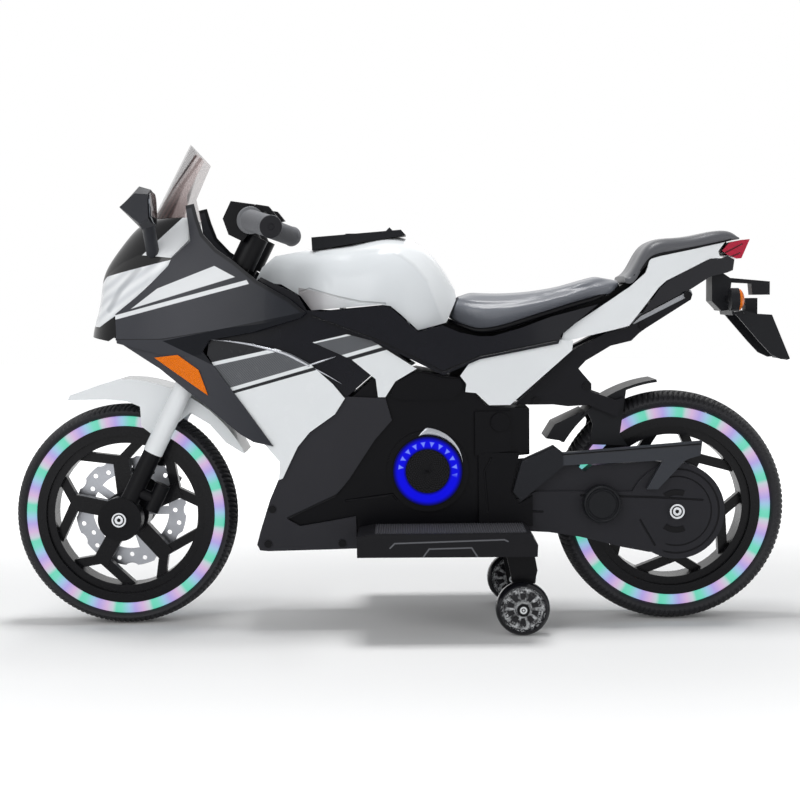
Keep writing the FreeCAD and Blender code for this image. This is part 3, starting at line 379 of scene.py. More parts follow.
@dataclass(frozen=True)
class BandedPaint(Finish):
    """White side panel with a dark woven band held between two white pinstripes."""

    dark: Colour = srgb(26, 27, 31)
    pinstripe: float = 0.0026
    weave: float = 2600.0
    lean: float = 900.0

    def colours(self, graph: Graph) -> Value:
        """Bands drawn by three side-view lines; the weave repeats on a slanted grid."""
        white = super().colours(graph)
        top = graph.beside((176, 676), (414, 746))
        second = graph.beside((209, 613), (458, 711))
        slanted = (graph.x * self.weave + graph.z * self.lean).sine()
        weave = (slanted * (graph.z * self.weave).sine()).over(0.1, 0.6)
        mesh = graph.mix(weave, srgb(58, 60, 64), srgb(112, 114, 118))
        band = graph.mix(top.over(0.0).high(second.under(0.0)), mesh, self.dark)
        lines = top.near(0.0, self.pinstripe).high(second.near(0.0, self.pinstripe))
        return graph.mix(lines.high(graph.below((215, 603), (472, 702))), band, white)


@dataclass(frozen=True)
class LitRing(Finish):
    """Milky light ring whose colours run round it in equal repeats."""

    repeats: int = 16
    start: float = 0.0
    strength: float = 0.86

    def extras(self, graph: Graph) -> None:
        """Emission that steps through green, blue, lilac and pink with the angle."""
        _, turn = graph.around(self.centre)
        phase = (turn * float(self.repeats) + self.start) % 1.0
        stops = ((0.0, srgb(88, 214, 180)), (0.14, srgb(96, 216, 186)), (0.34, srgb(150, 196, 228)),
                 (0.52, srgb(176, 156, 228)), (0.74, srgb(214, 176, 218)), (0.9, srgb(196, 206, 214)),
                 (1.0, srgb(88, 214, 180)))
        glow = graph.node("ShaderNodeValToRGB", {"stops": stops}, {0: phase})
        graph.feed(Emission_Color=glow, Emission_Strength=self.strength)


@dataclass(frozen=True)
class BlueRing(Finish):
    """Lit blue speaker ring with a row of brighter wedges over its upper half."""

    wedges: int = 20
    inner: float = 0.0335
    outer: float = 0.0465
    root: float = 0.0355
    tip: float = 0.0425
    point: float = 0.035
    reach: float = 0.009
    widening: float = 0.3
    strength: float = 0.95

    def extras(self, graph: Graph) -> None:
        """Deep blue glow that fades at both edges, with pale wedges that widen outwards over the upper half."""
        radius, turn = graph.around(self.centre)
        width = (radius - self.point) / self.reach * self.widening
        wedge = (width - turn.wave(self.wedges)).over(0.0, 0.06)
        wedge = wedge.low(radius.under(self.tip, 0.0008)).low(radius.over(self.root, 0.0008))
        wedge = wedge.low(turn.over(-0.02, 0.02)).low(turn.under(0.52, 0.02))
        body = radius.over(self.inner, 0.003).low(radius.under(self.outer, 0.004))
        glow = graph.mix(body, srgb(1, 1, 60), srgb(8, 8, 226))
        graph.feed(Emission_Color=graph.mix(wedge, glow, srgb(120, 140, 255)), Emission_Strength=self.strength)


@dataclass(frozen=True)
class Perforated(Grooved):
    """Black speaker mesh with rings of small holes."""

    line_colour: Colour = (0.002, 0.002, 0.002)
    row: float = 0.0042
    spokes: int = 26

    def groove(self, graph: Graph) -> Value:
        """Mask of the holes: rows by radius, each split by angle."""
        radius, turn = graph.around(self.centre)
        return ((radius * (TURN / self.row)).sine() * (turn * (TURN * self.spokes)).sine()).over(0.15, 0.2)


@dataclass(frozen=True)
class HubPaint(Grooved):
    """Black gearbox cover with rings and two crescent slots about the rear axle."""

    rim: float = 0.0615
    step: float = 0.0505
    slot: float = 0.0275

    def groove(self, graph: Graph) -> Value:
        """Lines, rings and crescents together."""
        radius, turn = graph.around(self.centre)
        ring = radius.near(self.rim, 0.001, 0.0006).high(radius.near(self.step, 0.0008, 0.0005))
        ring = ring.low(turn.near(0.0, 0.3, 0.01))
        sector = turn.near(0.27, 0.085, 0.006).high(turn.near(-0.27, 0.085, 0.006))
        slot = radius.near(self.slot, 0.0042, 0.0008).low(sector)
        return super().groove(graph).high(ring).high(slot)


@dataclass(frozen=True)
class BoltHead(Grooved):
    """Bright bolt end with a dark ring and a socket, about an axle."""

    line_colour: Colour = (0.01, 0.01, 0.01)
    depth: float = 0.0015
    washer: float = 0.0072
    socket: float = 0.0026

    def groove(self, graph: Graph) -> Value:
        """Dark ring between head and washer, and a dark six-lobed socket."""
        radius, turn = graph.around(self.centre)
        lobes = (turn * (TURN * 6)).sine() * 0.0004
        # The socket's darkness is painted shade.
        return radius.near(self.washer, 0.0008, 0.0004).high((radius + lobes).under(self.socket, 0.0003))


@dataclass(frozen=True)
class SpokedRoller(Finish):
    """Dark clear stabiliser wheel with pale spokes round a bright hub."""

    spokes: int = 10
    hub: float = 0.011
    web: float = 0.029
    middle: float = 0.02
    cell_half: float = 0.0065
    cell_depth: float = 0.003
    speckled: float = 0.0275

    def cell(self, graph: Graph) -> Value:
        """Mask of the cells between the spokes, by radius and angle."""
        radius, turn = graph.around(self.centre)
        return radius.near(self.middle, self.cell_half, 0.001).low(turn.wave(self.spokes).under(0.3, 0.05))

    def colours(self, graph: Graph) -> Value:
        """Pale spokes and speckled ring between hub and tread."""
        radius, _ = graph.around(self.centre)
        web = radius.over(self.hub - 0.0005, 0.0008).low(radius.under(self.web, 0.0008))
        speck = graph.noise(420.0, 1.0).over(0.5, 0.06).low(radius.near(self.speckled, 0.0045, 0.0008))
        hub = radius.under(self.hub, 0.0006)
        pale = web.low(1.0 - self.cell(graph)).high(speck).high(hub) * graph.noise(160.0, 2.0).over(0.5, 0.2) * 0.8
        return graph.mix(pale, super().colours(graph), BRIGHT)

    def height(self, graph: Graph) -> Value:
        """Cells sunk between the spokes."""
        return super().height(graph) - self.cell(graph) * self.cell_depth


@dataclass(frozen=True)
class PinnedArm(Finish):
    """Black stabiliser arm whose wheel pin ends bright."""

    pin: float = 0.0052
    ring: float = 0.0022

    def colours(self, graph: Graph) -> Value:
        """Bright within the pin's radius, with a dark ring."""
        radius, _ = graph.around(self.centre)
        bright = graph.mix(radius.near(self.ring, 0.0007, 0.0004), BRIGHT, srgb(40, 40, 42))
        return graph.mix(radius.under(self.pin), super().colours(graph), bright)


@dataclass(frozen=True)
class Prism(Finish):
    """Moulded lens with fine ribs on its inner face."""

    ribs: float = 2200.0
    slant: float = 0.5
    rise: float = 0.00012

    def height(self, graph: Graph) -> Value:
        """Crossed ribs along two slants."""
        first = (graph.x * self.ribs + graph.z * self.ribs * self.slant).sine()
        second = (graph.z * self.ribs - graph.x * self.ribs * self.slant).sine()
        return (first + second) * self.rise


@dataclass(frozen=True)
class LampGlass(Finish):
    """Clear headlamp cover over a bright bowl, streaked along the nose."""

    streaks: float = 420.0

    def colours(self, graph: Graph) -> Value:
        """Pale bowl with fine grey streaks along the lamp's slant and a dark eyebrow over it."""
        slant = graph.beside((-17, 812), (60, 883))
        ripple = (slant * self.streaks + graph.noise(16.0, 1.0) * 3.0).sine() * 0.5 + 0.5
        pale = graph.mix(ripple * 0.5, srgb(240, 242, 244), srgb(186, 190, 196))
        fold = graph.trail(((42, 916), (6, 862), (-17, 812))).under(0.004, 0.003) * 0.5
        brow = graph.above((40, 916), (104, 936))
        return graph.mix(brow, graph.mix(fold, pale, srgb(140, 144, 150)), srgb(12, 12, 14))


@dataclass(frozen=True)
class Smoked(Finish):
    """Smoky see-through windscreen with a dark tinted wedge along its spine."""

    front: Line = ((62, 1032), (101, 1121), (141, 1198))
    back: Line = ((103, 1049), (126, 1136), (141, 1198))
    streaks: float = 900.0
    haze: float = 0.3
    shade_opacity: float = 0.5

    def wedge(self, graph: Graph) -> Value:
        """Mask of the wedge between two bent side-view lines, fainter towards the tip and with a dark front edge."""
        front = graph.below(*self.front[:2], 0.003).low(graph.below(*self.front[1:], 0.003))
        back = graph.above(*self.back[:2], 0.0015).low(graph.above(*self.back[1:], 0.0015))
        fade = graph.z.under(spot(0, 1100)[1], 0.03) * 0.6 + 0.4
        return (front.low(back) * fade).high(graph.trail(self.front).under(0.002, 0.0012))

    def colours(self, graph: Graph) -> Value:
        """Pinkish smoke, greyer ahead of the wedge, and a streaky reddish-brown wedge."""
        ahead = graph.above(self.front[0], self.front[2], 0.004)
        slant = graph.beside((75, 1040), (141, 1198))
        streak = (slant * self.streaks + graph.noise(30.0) * 4.0).sine() * 0.5 + 0.5
        smoke = graph.mix(ahead, super().colours(graph), srgb(150, 146, 147))
        # The dark wedge is painted shade along the screen's spine.
        return graph.mix(self.wedge(graph), smoke, graph.mix(streak, srgb(24, 15, 15), srgb(74, 52, 50)))

    def extras(self, graph: Graph) -> None:
        """Haze outside the wedge, and the wedge's tint over it."""
        graph.feed(Alpha=self.wedge(graph) * self.shade_opacity + self.haze)


@dataclass(frozen=True)
class Leather(Finish):
    """Grained seat cover with a soft sheen."""

    pebbles: float = 520.0
    rise: float = 0.00016

    def height(self, graph: Graph) -> Value:
        """Pebbled grain from rounded cells."""
        cells = graph.node("ShaderNodeTexVoronoi", {}, {"Vector": graph.place, "Scale": self.pebbles})
        return cells * self.rise + graph.noise(self.grain_scale, 2.0) * self.grain


@dataclass(frozen=True)
class GripRubber(Finish):
    """Grey hand grip with dark grooves between its rings and a dark end."""

    start: Place = (spot(246, 0)[0], 0.100, spot(0, 1030)[1])
    run: Place = (0.042, 0.114, -0.015)
    length: float = 0.114
    pitch: float = 0.0046
    margin: float = 0.008
    end: float = 0.0024

    def colours(self, graph: Graph) -> Value:
        """Grooves and end by the distance along the bar, alike on both sides."""
        unit = Vector(self.run).normalized()
        along = ((graph.x - self.start[0]) * unit.x + (graph.y.size() - self.start[1]) * unit.y
                 + (graph.z - self.start[2]) * unit.z)
        groove = (along * (TURN / self.pitch) + TURN / 4).sine().over(0.3, 0.5)
        groove = groove.low(along.over(self.margin)).low(along.under(self.length - self.margin))
        # The darkening of the grooves is painted shade; the end is dark as well.
        dark = (groove * 0.8).high(along.over(self.length - self.end, 0.0006))
        return graph.mix(dark, super().colours(graph), srgb(34, 34, 37))


def upright(station: float) -> Line:
    """Side-view line straight up through a station; what lies behind it counts as below."""
    return (station, 0), (station, 1000)


WHITE_PAINT = srgb(224, 227, 229)
STRIPE_WHITE = srgb(226, 228, 230)
INK = srgb(9, 9, 12)
SPEAKER_AT = spot(555, 403)
MOTOR_AT = (0.2931, 0.1830)
ROLLER_AT = (spot(720, 0)[0], 0.039)

WHITE = Finish("white_gloss", WHITE_PAINT, 0.24, coat=0.3, grain=0.000006, tone=0.015)
TANK_WHITE = TankPaint("tank_white", WHITE_PAINT, 0.24, coat=0.3, grain=0.000006, tone=0.015,
                       lines=(((330, 852), (346, 860), (400, 838), (440, 826), (482, 821)),))
CHARCOAL = Finish("charcoal_satin", srgb(48, 49, 53), 0.42)
BLACK = Finish("black_moulding", INK, 0.38, grain=0.00004)
DARK = Finish("dark_moulding", srgb(24, 25, 28), 0.4, grain=0.00004)
GLOSS = Grooved("black_gloss", srgb(10, 11, 19), 0.22, coat=0.1,
                lines=(((352, 793), (467, 733), (584, 652), (649, 689), (700, 702), (786, 725)),), width=0.0009)
BEAM = Finish("beam_black", srgb(18, 18, 22), 0.36, patches=(
    Patch(srgb(150, 152, 156), below=(((925, 788), (1050, 884)), upright(928)), above=(((930, 764), (1058, 853)),)),))
HOUSING = Grooved("housing_black", INK, 0.4, grain=0.00005, shine=0.08,
                  lines=(((409, 330), (492, 345), (500, 331)), ((668, 432), (656, 400), (662, 300))))
BELLY = Grooved("belly_satin", srgb(42, 42, 46), 0.46, grain=0.00006,
                lines=(((305, 288), (393, 345), (431, 402), (489, 519)),))
# The light lines are a painted highlight along the footboards' lip edges.
BOARD = Grooved("board_black", srgb(20, 20, 23), 0.42, depth=-0.0006, width=0.001, line_colour=srgb(96, 97, 101),
                lines=(((488, 236), (496, 247), (684, 254), (690, 250)),
                       ((544, 212), (555, 233), (628, 235), (638, 213))))
ARM = HubPaint("gearbox_black", srgb(35, 35, 39), 0.4, grain=0.00005, centre=(REAR_X, REAR_R),
               lines=(((830, 336), (961, 330), (1047, 322)), ((935, 273), (961, 209)), ((690, 300), (760, 296))))
GUARD = Grooved("guard_grey", srgb(54, 56, 61), 0.36, lines=(((796, 440), (1040, 464)), ((724, 426), (780, 458))),
                width=0.001, patches=(Patch(srgb(30, 31, 35), above=(upright(797),), soft=0.002),))
NOSE = Finish("nose_black", srgb(16, 16, 18), 0.22, coat=0.2, patches=(
    Patch(STRIPE_WHITE, below=(((45, 946), (123, 1041)),), above=(((0, 925), (100, 925)),)),))
RUBBER = Finish("tyre_rubber", srgb(36, 36, 39), 0.55, grain=0.00006, shine=0.2)
RIM = Finish("rim_black", srgb(12, 12, 15), 0.28, coat=0.06)
STEEL = Finish("bare_steel", srgb(150, 152, 157), 0.32, metallic=1.0)
FRONT_BOLT = BoltHead("front_axle_plating", srgb(190, 192, 195), 0.2, metallic=1.0, centre=(FRONT_X, FRONT_R))
REAR_BOLT = BoltHead("rear_axle_plating", srgb(190, 192, 195), 0.2, metallic=1.0, centre=(REAR_X, REAR_R))
SILVER = Finish("silver_trim", srgb(186, 188, 194), 0.24, metallic=0.7, coat=0.2)
MIRROR = Finish("mirror_glass", srgb(74, 77, 82), 0.08, metallic=1.0, grain=0.0)
AMBER = Prism("amber_lens", srgb(226, 112, 2), 0.25, coat=0.08)
RED = Grooved("red_lens", srgb(172, 24, 54), 0.2, coat=0.3, line_colour=srgb(84, 4, 20), width=0.0009,
              lines=(((1088, 934), (1127, 962)), ((1094, 923), (1123, 939))))
SCREEN = Smoked("smoked_screen", srgb(192, 174, 172), 0.1, coat=0.1, grain=0.0)
LENS = LampGlass("lamp_cover", srgb(230, 232, 234), 0.12, coat=0.5)
GRIP = GripRubber("grip_rubber", srgb(118, 119, 122), 0.58, grain=0.00008)
MAT = Finish("mat_rubber", srgb(62, 62, 66), 0.6, grain=0.00008)
NYLON = Finish("gear_nylon", srgb(214, 210, 196), 0.4)
SEAT = Leather("seat_cover", srgb(94, 97, 104), 0.34, shine=0.5, grain_scale=1400.0)
PAD = Finish("pillion_moulding", srgb(78, 79, 83), 0.36, shine=0.3, grain=0.00008, grain_scale=600.0)
LIP = ((129, 1069), (144, 1074), (151, 1037), (161, 997), (185, 960), (216, 930), (256, 883), (314, 835), (343, 801))
FAIRING = Grooved("fairing_paint", srgb(58, 59, 64), 0.34, coat=0.04, lines=(((0, 738), (85, 738), (170, 757)),),
                  width=0.0006, depth=0.0004, line_colour=srgb(40, 40, 43), patches=(
    # Painted shade: the fairing darkens softly towards its rear.
    Patch(srgb(20, 23, 29), below=(upright(235),), soft=0.1, cover=0.75),
    Patch(srgb(16, 17, 20), trail=LIP, reach=0.005, soft=0.0012, cover=0.85),
    Patch(srgb(14, 16, 22), below=(((86, 734), (341, 803)),), above=(((86, 734), (178, 671)),)),
    Patch(STRIPE_WHITE, below=(((20, 806), (84, 871)), ((56, 853), (182, 919)), ((182, 918), (219, 890))),
          above=(((30, 815), (219, 891)),)),
    Patch(STRIPE_WHITE, below=(((15.14, 804.37), (237.14, 882.37)), ((236, 890), (246, 866))),
          above=(((17, 794), (239, 872)),))))
BANDED = BandedPaint("banded_panel", WHITE_PAINT, 0.26, coat=0.25, grain=0.000006, tone=0.015)
FRONT_RING = LitRing("front_light", (0.1, 0.11, 0.12), 0.4, centre=(FRONT_X, FRONT_R), start=0.3)
REAR_RING = LitRing("rear_light", (0.1, 0.11, 0.12), 0.4, centre=(REAR_X, REAR_R), start=0.3)
BLUE = BlueRing("speaker_light", (0.002, 0.002, 0.03), 0.35, shine=0.04, centre=SPEAKER_AT)
PIN_ARM = PinnedArm("arm_black", INK, 0.38, grain=0.00004, centre=ROLLER_AT)
MESH = Perforated("speaker_mesh", srgb(22, 22, 25), 0.4, centre=SPEAKER_AT)
ROLLER = SpokedRoller("roller_clear", srgb(20, 20, 24), 0.22, coat=0.3, centre=ROLLER_AT)

NODE_FINISH: dict[Finish, tuple[str, ...]] = {
    WHITE: ("rear_panels", "tail_panels", "fork_sleeves", "front_fender"),
    TANK_WHITE: ("tank_cover",),
    FAIRING: ("fairing_left", "fairing_right"),
    BANDED: ("side_panels",),
    CHARCOAL: ("mirrors", "direction_switch"),
    BEAM: ("subframe",),
    GLOSS: ("spar_covers", "undertail"),
    GUARD: ("chain_guard",),
    BELLY: ("belly_cowl_left", "belly_cowl_right"),
    HOUSING: ("engine_housing_left", "engine_housing_right"),
    ARM: ("swingarm_left", "swingarm_right"),
    BOARD: ("footboards",),
    DARK: ("tank_console", "plate_bracket", "rear_hugger"),
    BLACK: ("handlebars", "horn_button", "power_button", "fork_legs",
            "body_bolts", "motor_cap", "stabiliser_wheel_left", "stabiliser_wheel_right",
            "main_frame", "steering_yokes", "battery"),
    PIN_ARM: ("stabiliser_arms",),
    NOSE: ("nose_cowl",),
    RUBBER: ("front_tyre", "rear_tyre"),
    RIM: ("front_rim", "rear_rim"),
    STEEL: ("brake_disc", "motor_case", "motor_rotor"),
    FRONT_BOLT: ("front_axle",),
    REAR_BOLT: ("rear_axle",),
    AMBER: ("amber_lenses",),
    RED: ("tail_light",),
    SCREEN: ("windscreen",),
    LENS: ("headlight_lenses",),
    GRIP: ("grip_left", "throttle_grip"),
    NYLON: ("drive_gear", "idler_gear"),
    SEAT: ("seat",),
    PAD: ("tail_pad",),
    FRONT_RING: ("front_light_rings",),
    REAR_RING: ("rear_light_rings",),
    BLUE: ("speaker_rings",),
    MESH: ("speaker_grilles",),
}


def add(name: str, data: bpy.types.ID) -> bpy.types.Object:
    """Put an object with this data into the scene."""
    made = bpy.data.objects.new(name, data)
    bpy.context.scene.collection.objects.link(made)
    return made


def read(mesh: bpy.types.Mesh, key: str) -> np.ndarray:
    """One attribute of all points of a mesh, as rows of three."""
    values = np.empty(len(mesh.vertices) * 3)
    mesh.vertices.foreach_get(key, values)
    return values.reshape(-1, 3)


def weld(mesh: bpy.types.Mesh, reach: float) -> None:
    """Join points that lie within a reach of each other."""
    work = bmesh.new()
    work.from_mesh(mesh)
    bmesh.ops.remove_doubles(work, verts=work.verts, dist=reach)
    work.to_mesh(mesh)
    work.free()


class Side(Enum):
    """Rider's side of the machine, as the sign of Y."""

    LEFT = -1.0
    RIGHT = 1.0


@dataclass
class Skin:
    """Quad surface held as whole arrays: points (n, 3) and corner numbers (m, 4)."""

    points: np.ndarray
    faces: np.ndarray

    @classmethod
    def grid(cls, points: np.ndarray, wrap_rows: bool = False, wrap_columns: bool = False) -> "Skin":
        """Surface over a grid of points.

        Args:
            points: array of rows, columns and three coordinates.
            wrap_rows: join the last row to the first.
            wrap_columns: join the last column to the first.

        Returns:
            The surface; face (r, c) takes the four points between rows r, r + 1 and columns c, c + 1.
        """
        rows, columns = points.shape[:2]
        r, c = np.meshgrid(np.arange(rows - (not wrap_rows)), np.arange(columns - (not wrap_columns)), indexing="ij")
        below, beside = (r + 1) % rows, (c + 1) % columns
        corners = (r * columns + c, r * columns + beside, below * columns + beside, below * columns + c)
        return cls(points.reshape(-1, 3), np.stack(corners, -1).reshape(-1, 4))

    @classmethod
    def tube(cls, rings: np.ndarray) -> "Skin":
        """Closed tube through rings of points, each end drawn together at its middle."""
        ends = rings[[0, -1]].mean(axis=1, keepdims=True) + np.zeros_like(rings[:1])
        return cls.grid(np.concatenate((ends[:1], rings, ends[1:])), wrap_columns=True).outward()

    @classmethod
    def turned(cls, profile: np.ndarray, origin: Sequence[float], axis: Sequence[float], steps: int,
               carve: Callable[[np.ndarray, np.ndarray], np.ndarray] | None = None) -> "Skin":
        """Closed profile turned about an axis.

        Args:
            profile: pairs of radius and distance along the axis, as a closed loop or from pole to pole.
            origin: where the distance along the axis is zero.
            axis: direction of the axis.
            steps: faces round the axis.
            carve: radius taken off, from angle (steps, 1) and profile rows (1, n, 2).

        Returns:
            The surface origin + axis * along + radius * (u cos a + v sin a).
        """
        line = Vector(axis).normalized()
        u = line.orthogonal().normalized()
        v = line.cross(u)
        angle = np.linspace(0, TURN, steps, endpoint=False)[:, None]
        radius = profile[None, :, 0] - (carve(angle, profile[None]) if carve else 0.0)
        radius = radius + np.zeros_like(angle)
        spun = np.cos(angle)[..., None] * np.array(u) + np.sin(angle)[..., None] * np.array(v)
        points = np.array(origin) + profile[None, :, 1, None] * np.array(line) + radius[..., None] * spun
        return cls.grid(points, True, True).outward()

    def __add__(self, other: "Skin") -> "Skin":
        """Both surfaces as one."""
        return Skin(np.concatenate((self.points, other.points)),
                    np.concatenate((self.faces, other.faces + len(self.points))))

    def mirrored(self) -> "Skin":
        """The same surface on the other side of the machine, still facing outwards."""
        return Skin(self.points * (1.0, -1.0, 1.0), self.faces[:, ::-1])

    def both(self) -> "Skin":
        """This surface and its mirror image."""
        return self + self.mirrored()

    def outward(self) -> "Skin":
        """Turned to face outwards, by the sign of the volume that it encloses."""
        a, b, c, d = (self.points[self.faces[:, k]] for k in range(4))
        volume = np.einsum("ij,ij->", a, np.cross(b, c)) + np.einsum("ij,ij->", a, np.cross(c, d))
        return self if volume > 0 else Skin(self.points, self.faces[:, ::-1])

    def piece(self, name: str, finish: Finish, body: str, slot: str,
              replaces: Sequence[str] = ()) -> bpy.types.Object:
        """Put the surface into the scene.

        Args:
            name: piece name.
            finish: its finish.
            body: body that it rides on.
            slot: material slot of the record.
            replaces: solids that it stands for.

        Returns:
            The new object.
        """
        mesh = bpy.data.meshes.new(name)
        mesh.from_pydata(self.points.tolist(), [], self.faces.tolist())
        weld(mesh, 1e-6)
        mesh.polygons.foreach_set("use_smooth", np.ones(len(mesh.polygons), dtype=bool))
        mesh.set_sharp_from_angle(angle=SHARP)
        mesh.materials.append(finish.material())
        return settle(add(name, mesh), body, replaces)


def settle(made: bpy.types.Object, body: str, replaces: Sequence[str]) -> bpy.types.Object:
    """Tie a piece to its body, slot and solids, and report it."""
    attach(made, body)
    if replaces:
        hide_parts(*replaces)
    LOG.info("%s: %d faces, rides on %s", made.name, len(made.data.polygons), body)
    return made


def smooth_line(knots: Sequence[Sequence[float]], count: int) -> np.ndarray:
    """Curve through knots: on each span the cubic whose end slopes are half the chord of the neighbours.

    Args:
        knots: points of any dimension.
        count: points along the curve.

    Returns:
        Array of points.
    """
    p = np.asarray(knots, float)
    p = np.concatenate((2 * p[:1] - p[1:2], p, 2 * p[-1:] - p[-2:-1]))
    t = np.linspace(0, len(p) - 3, count)
    k = np.minimum(t.astype(int), len(p) - 4)
    f = (t - k)[:, None]
    a, b, c, d = p[k], p[k + 1], p[k + 2], p[k + 3]
    return 0.5 * (2 * b + (c - a) * f + (2 * a - 5 * b + 4 * c - d) * f ** 2 + (3 * b - a - 3 * c + d) * f ** 3)


def side_line(shares: Sequence[Point], y: float | Sequence[float]) -> np.ndarray:
    """Points across the machine, at one distance or one each, from side-view shares."""
    x, z = np.array([spot(*share) for share in shares]).T
    return np.stack((x, np.zeros_like(x) + y, z), -1)


def strip(shares: Sequence[Point], y: float | Sequence[float], width: Sequence[float], thick: float,
          count: int = 40) -> Skin:
    """Rounded trim strip laid on the body side.

    Args:
        shares: side-view knots of its middle line.
        y: outer face across the machine, one for all knots or one each.
        width: width at evenly spread places along it.
        thick: how far it stands back from its face.
        count: rings along it.

    Returns:
        A tube whose rings are flattened ellipses across the line, as wide as the given width.
    """
    line = smooth_line(side_line(shares, y), count)
    along = np.gradient(line, axis=0)
    along /= np.linalg.norm(along, axis=1, keepdims=True)
    across = np.cross(along, ACROSS)
    half = np.interp(np.linspace(0, 1, count), np.linspace(0, 1, len(width)), width)[:, None, None] / 2
    angle = np.linspace(0, TURN, 12, endpoint=False)[None, :, None]
    rings = line[:, None] + across[:, None] * half * np.cos(angle)
    return Skin.tube(rings + np.array(ACROSS) * (1 - np.sin(angle)) * thick / 2)


@dataclass
class Wheel:
    """One road wheel: treaded tyre and a light ring on each face."""

    name: str
    axle: Point
    radius: float
    half: float
    ring: LitRing
    blocks: int = 132
    tread: float = 0.0024
    wall: Line = ((0.10, 0.92), (0.34, 1.0), (0.50, 0.985), (0.70, 0.86), (0.88, 0.6), (0.975, 0.28), (1.0, 0.0))
    ring_r: float = 0.1403
    ring_half: float = 0.0073
    ring_rise: float = 0.0026
    ring_inset: float = 0.005
    ring_edge: float = 0.0006
    ring_back: float = 0.0036

    def profile(self) -> np.ndarray:
        """Tyre cross-section: bulged walls run up to a round crown, from shares of its rise and half-width."""
        knots = [(RIM_R + 0.0002, -self.half * 0.80)]
        knots += [(RIM_R + (self.radius - RIM_R) * rise, -self.half * share) for rise, share in self.wall]
        outer = smooth_line(knots, 19)
        return np.concatenate((outer, outer[-2::-1] * (1.0, -1.0)))

    def carve(self, angle: np.ndarray, profile: np.ndarray) -> np.ndarray:
        """Tread depth: slanted cross grooves on both shoulders and a waved groove each side of the middle."""
        radius, y = profile[..., 0], profile[..., 1]
        share = np.abs(y) / self.half
        phase = angle * self.blocks / TURN + share * 1.2 + (y > 0) * 0.5
        cross = np.clip((np.abs((phase % 1.0) - 0.5) - 0.27) / 0.1, 0, 1)
        shoulder = np.clip((share - 0.24) / 0.05, 0, 1) * np.clip((radius - RIM_R - 0.007) / 0.002, 0, 1)
        wave = 0.2 + 0.03 * np.sin(angle * self.blocks / 2)
        middle = np.clip(1 - np.abs(share - wave) / 0.06, 0, 1)
        return self.tread * np.maximum(cross * shoulder, middle)

    def build(self) -> None:
        """Make the tyre and the rings, whose faces are domes on a flat foot."""
        centre = (self.axle[0], 0.0, self.axle[1])
        body = self.name + "_wheel"
        tyre = Skin.turned(self.profile(), centre, ACROSS, self.blocks * 6, self.carve)
        tyre.piece(self.name + "_tyre_tread", RUBBER, body, "tyre", (self.name + "_tyre",))
        face = self.ring_inset - self.half
        edge, back = face + self.ring_edge, face + self.ring_back
        arc = np.linspace(0, math.pi, 9)
        dome = np.stack((self.ring_r + self.ring_half * np.cos(arc), edge - self.ring_rise * np.sin(arc)), -1)
        base = np.array(((self.ring_r - self.ring_half, back), (self.ring_r + self.ring_half, back)))
        ring = Skin.turned(np.concatenate((dome, base)), centre, ACROSS, 192)
        ring.both().piece(self.name + "_ring_lens", self.ring, body, "light_ring", (self.name + "_light_rings",))


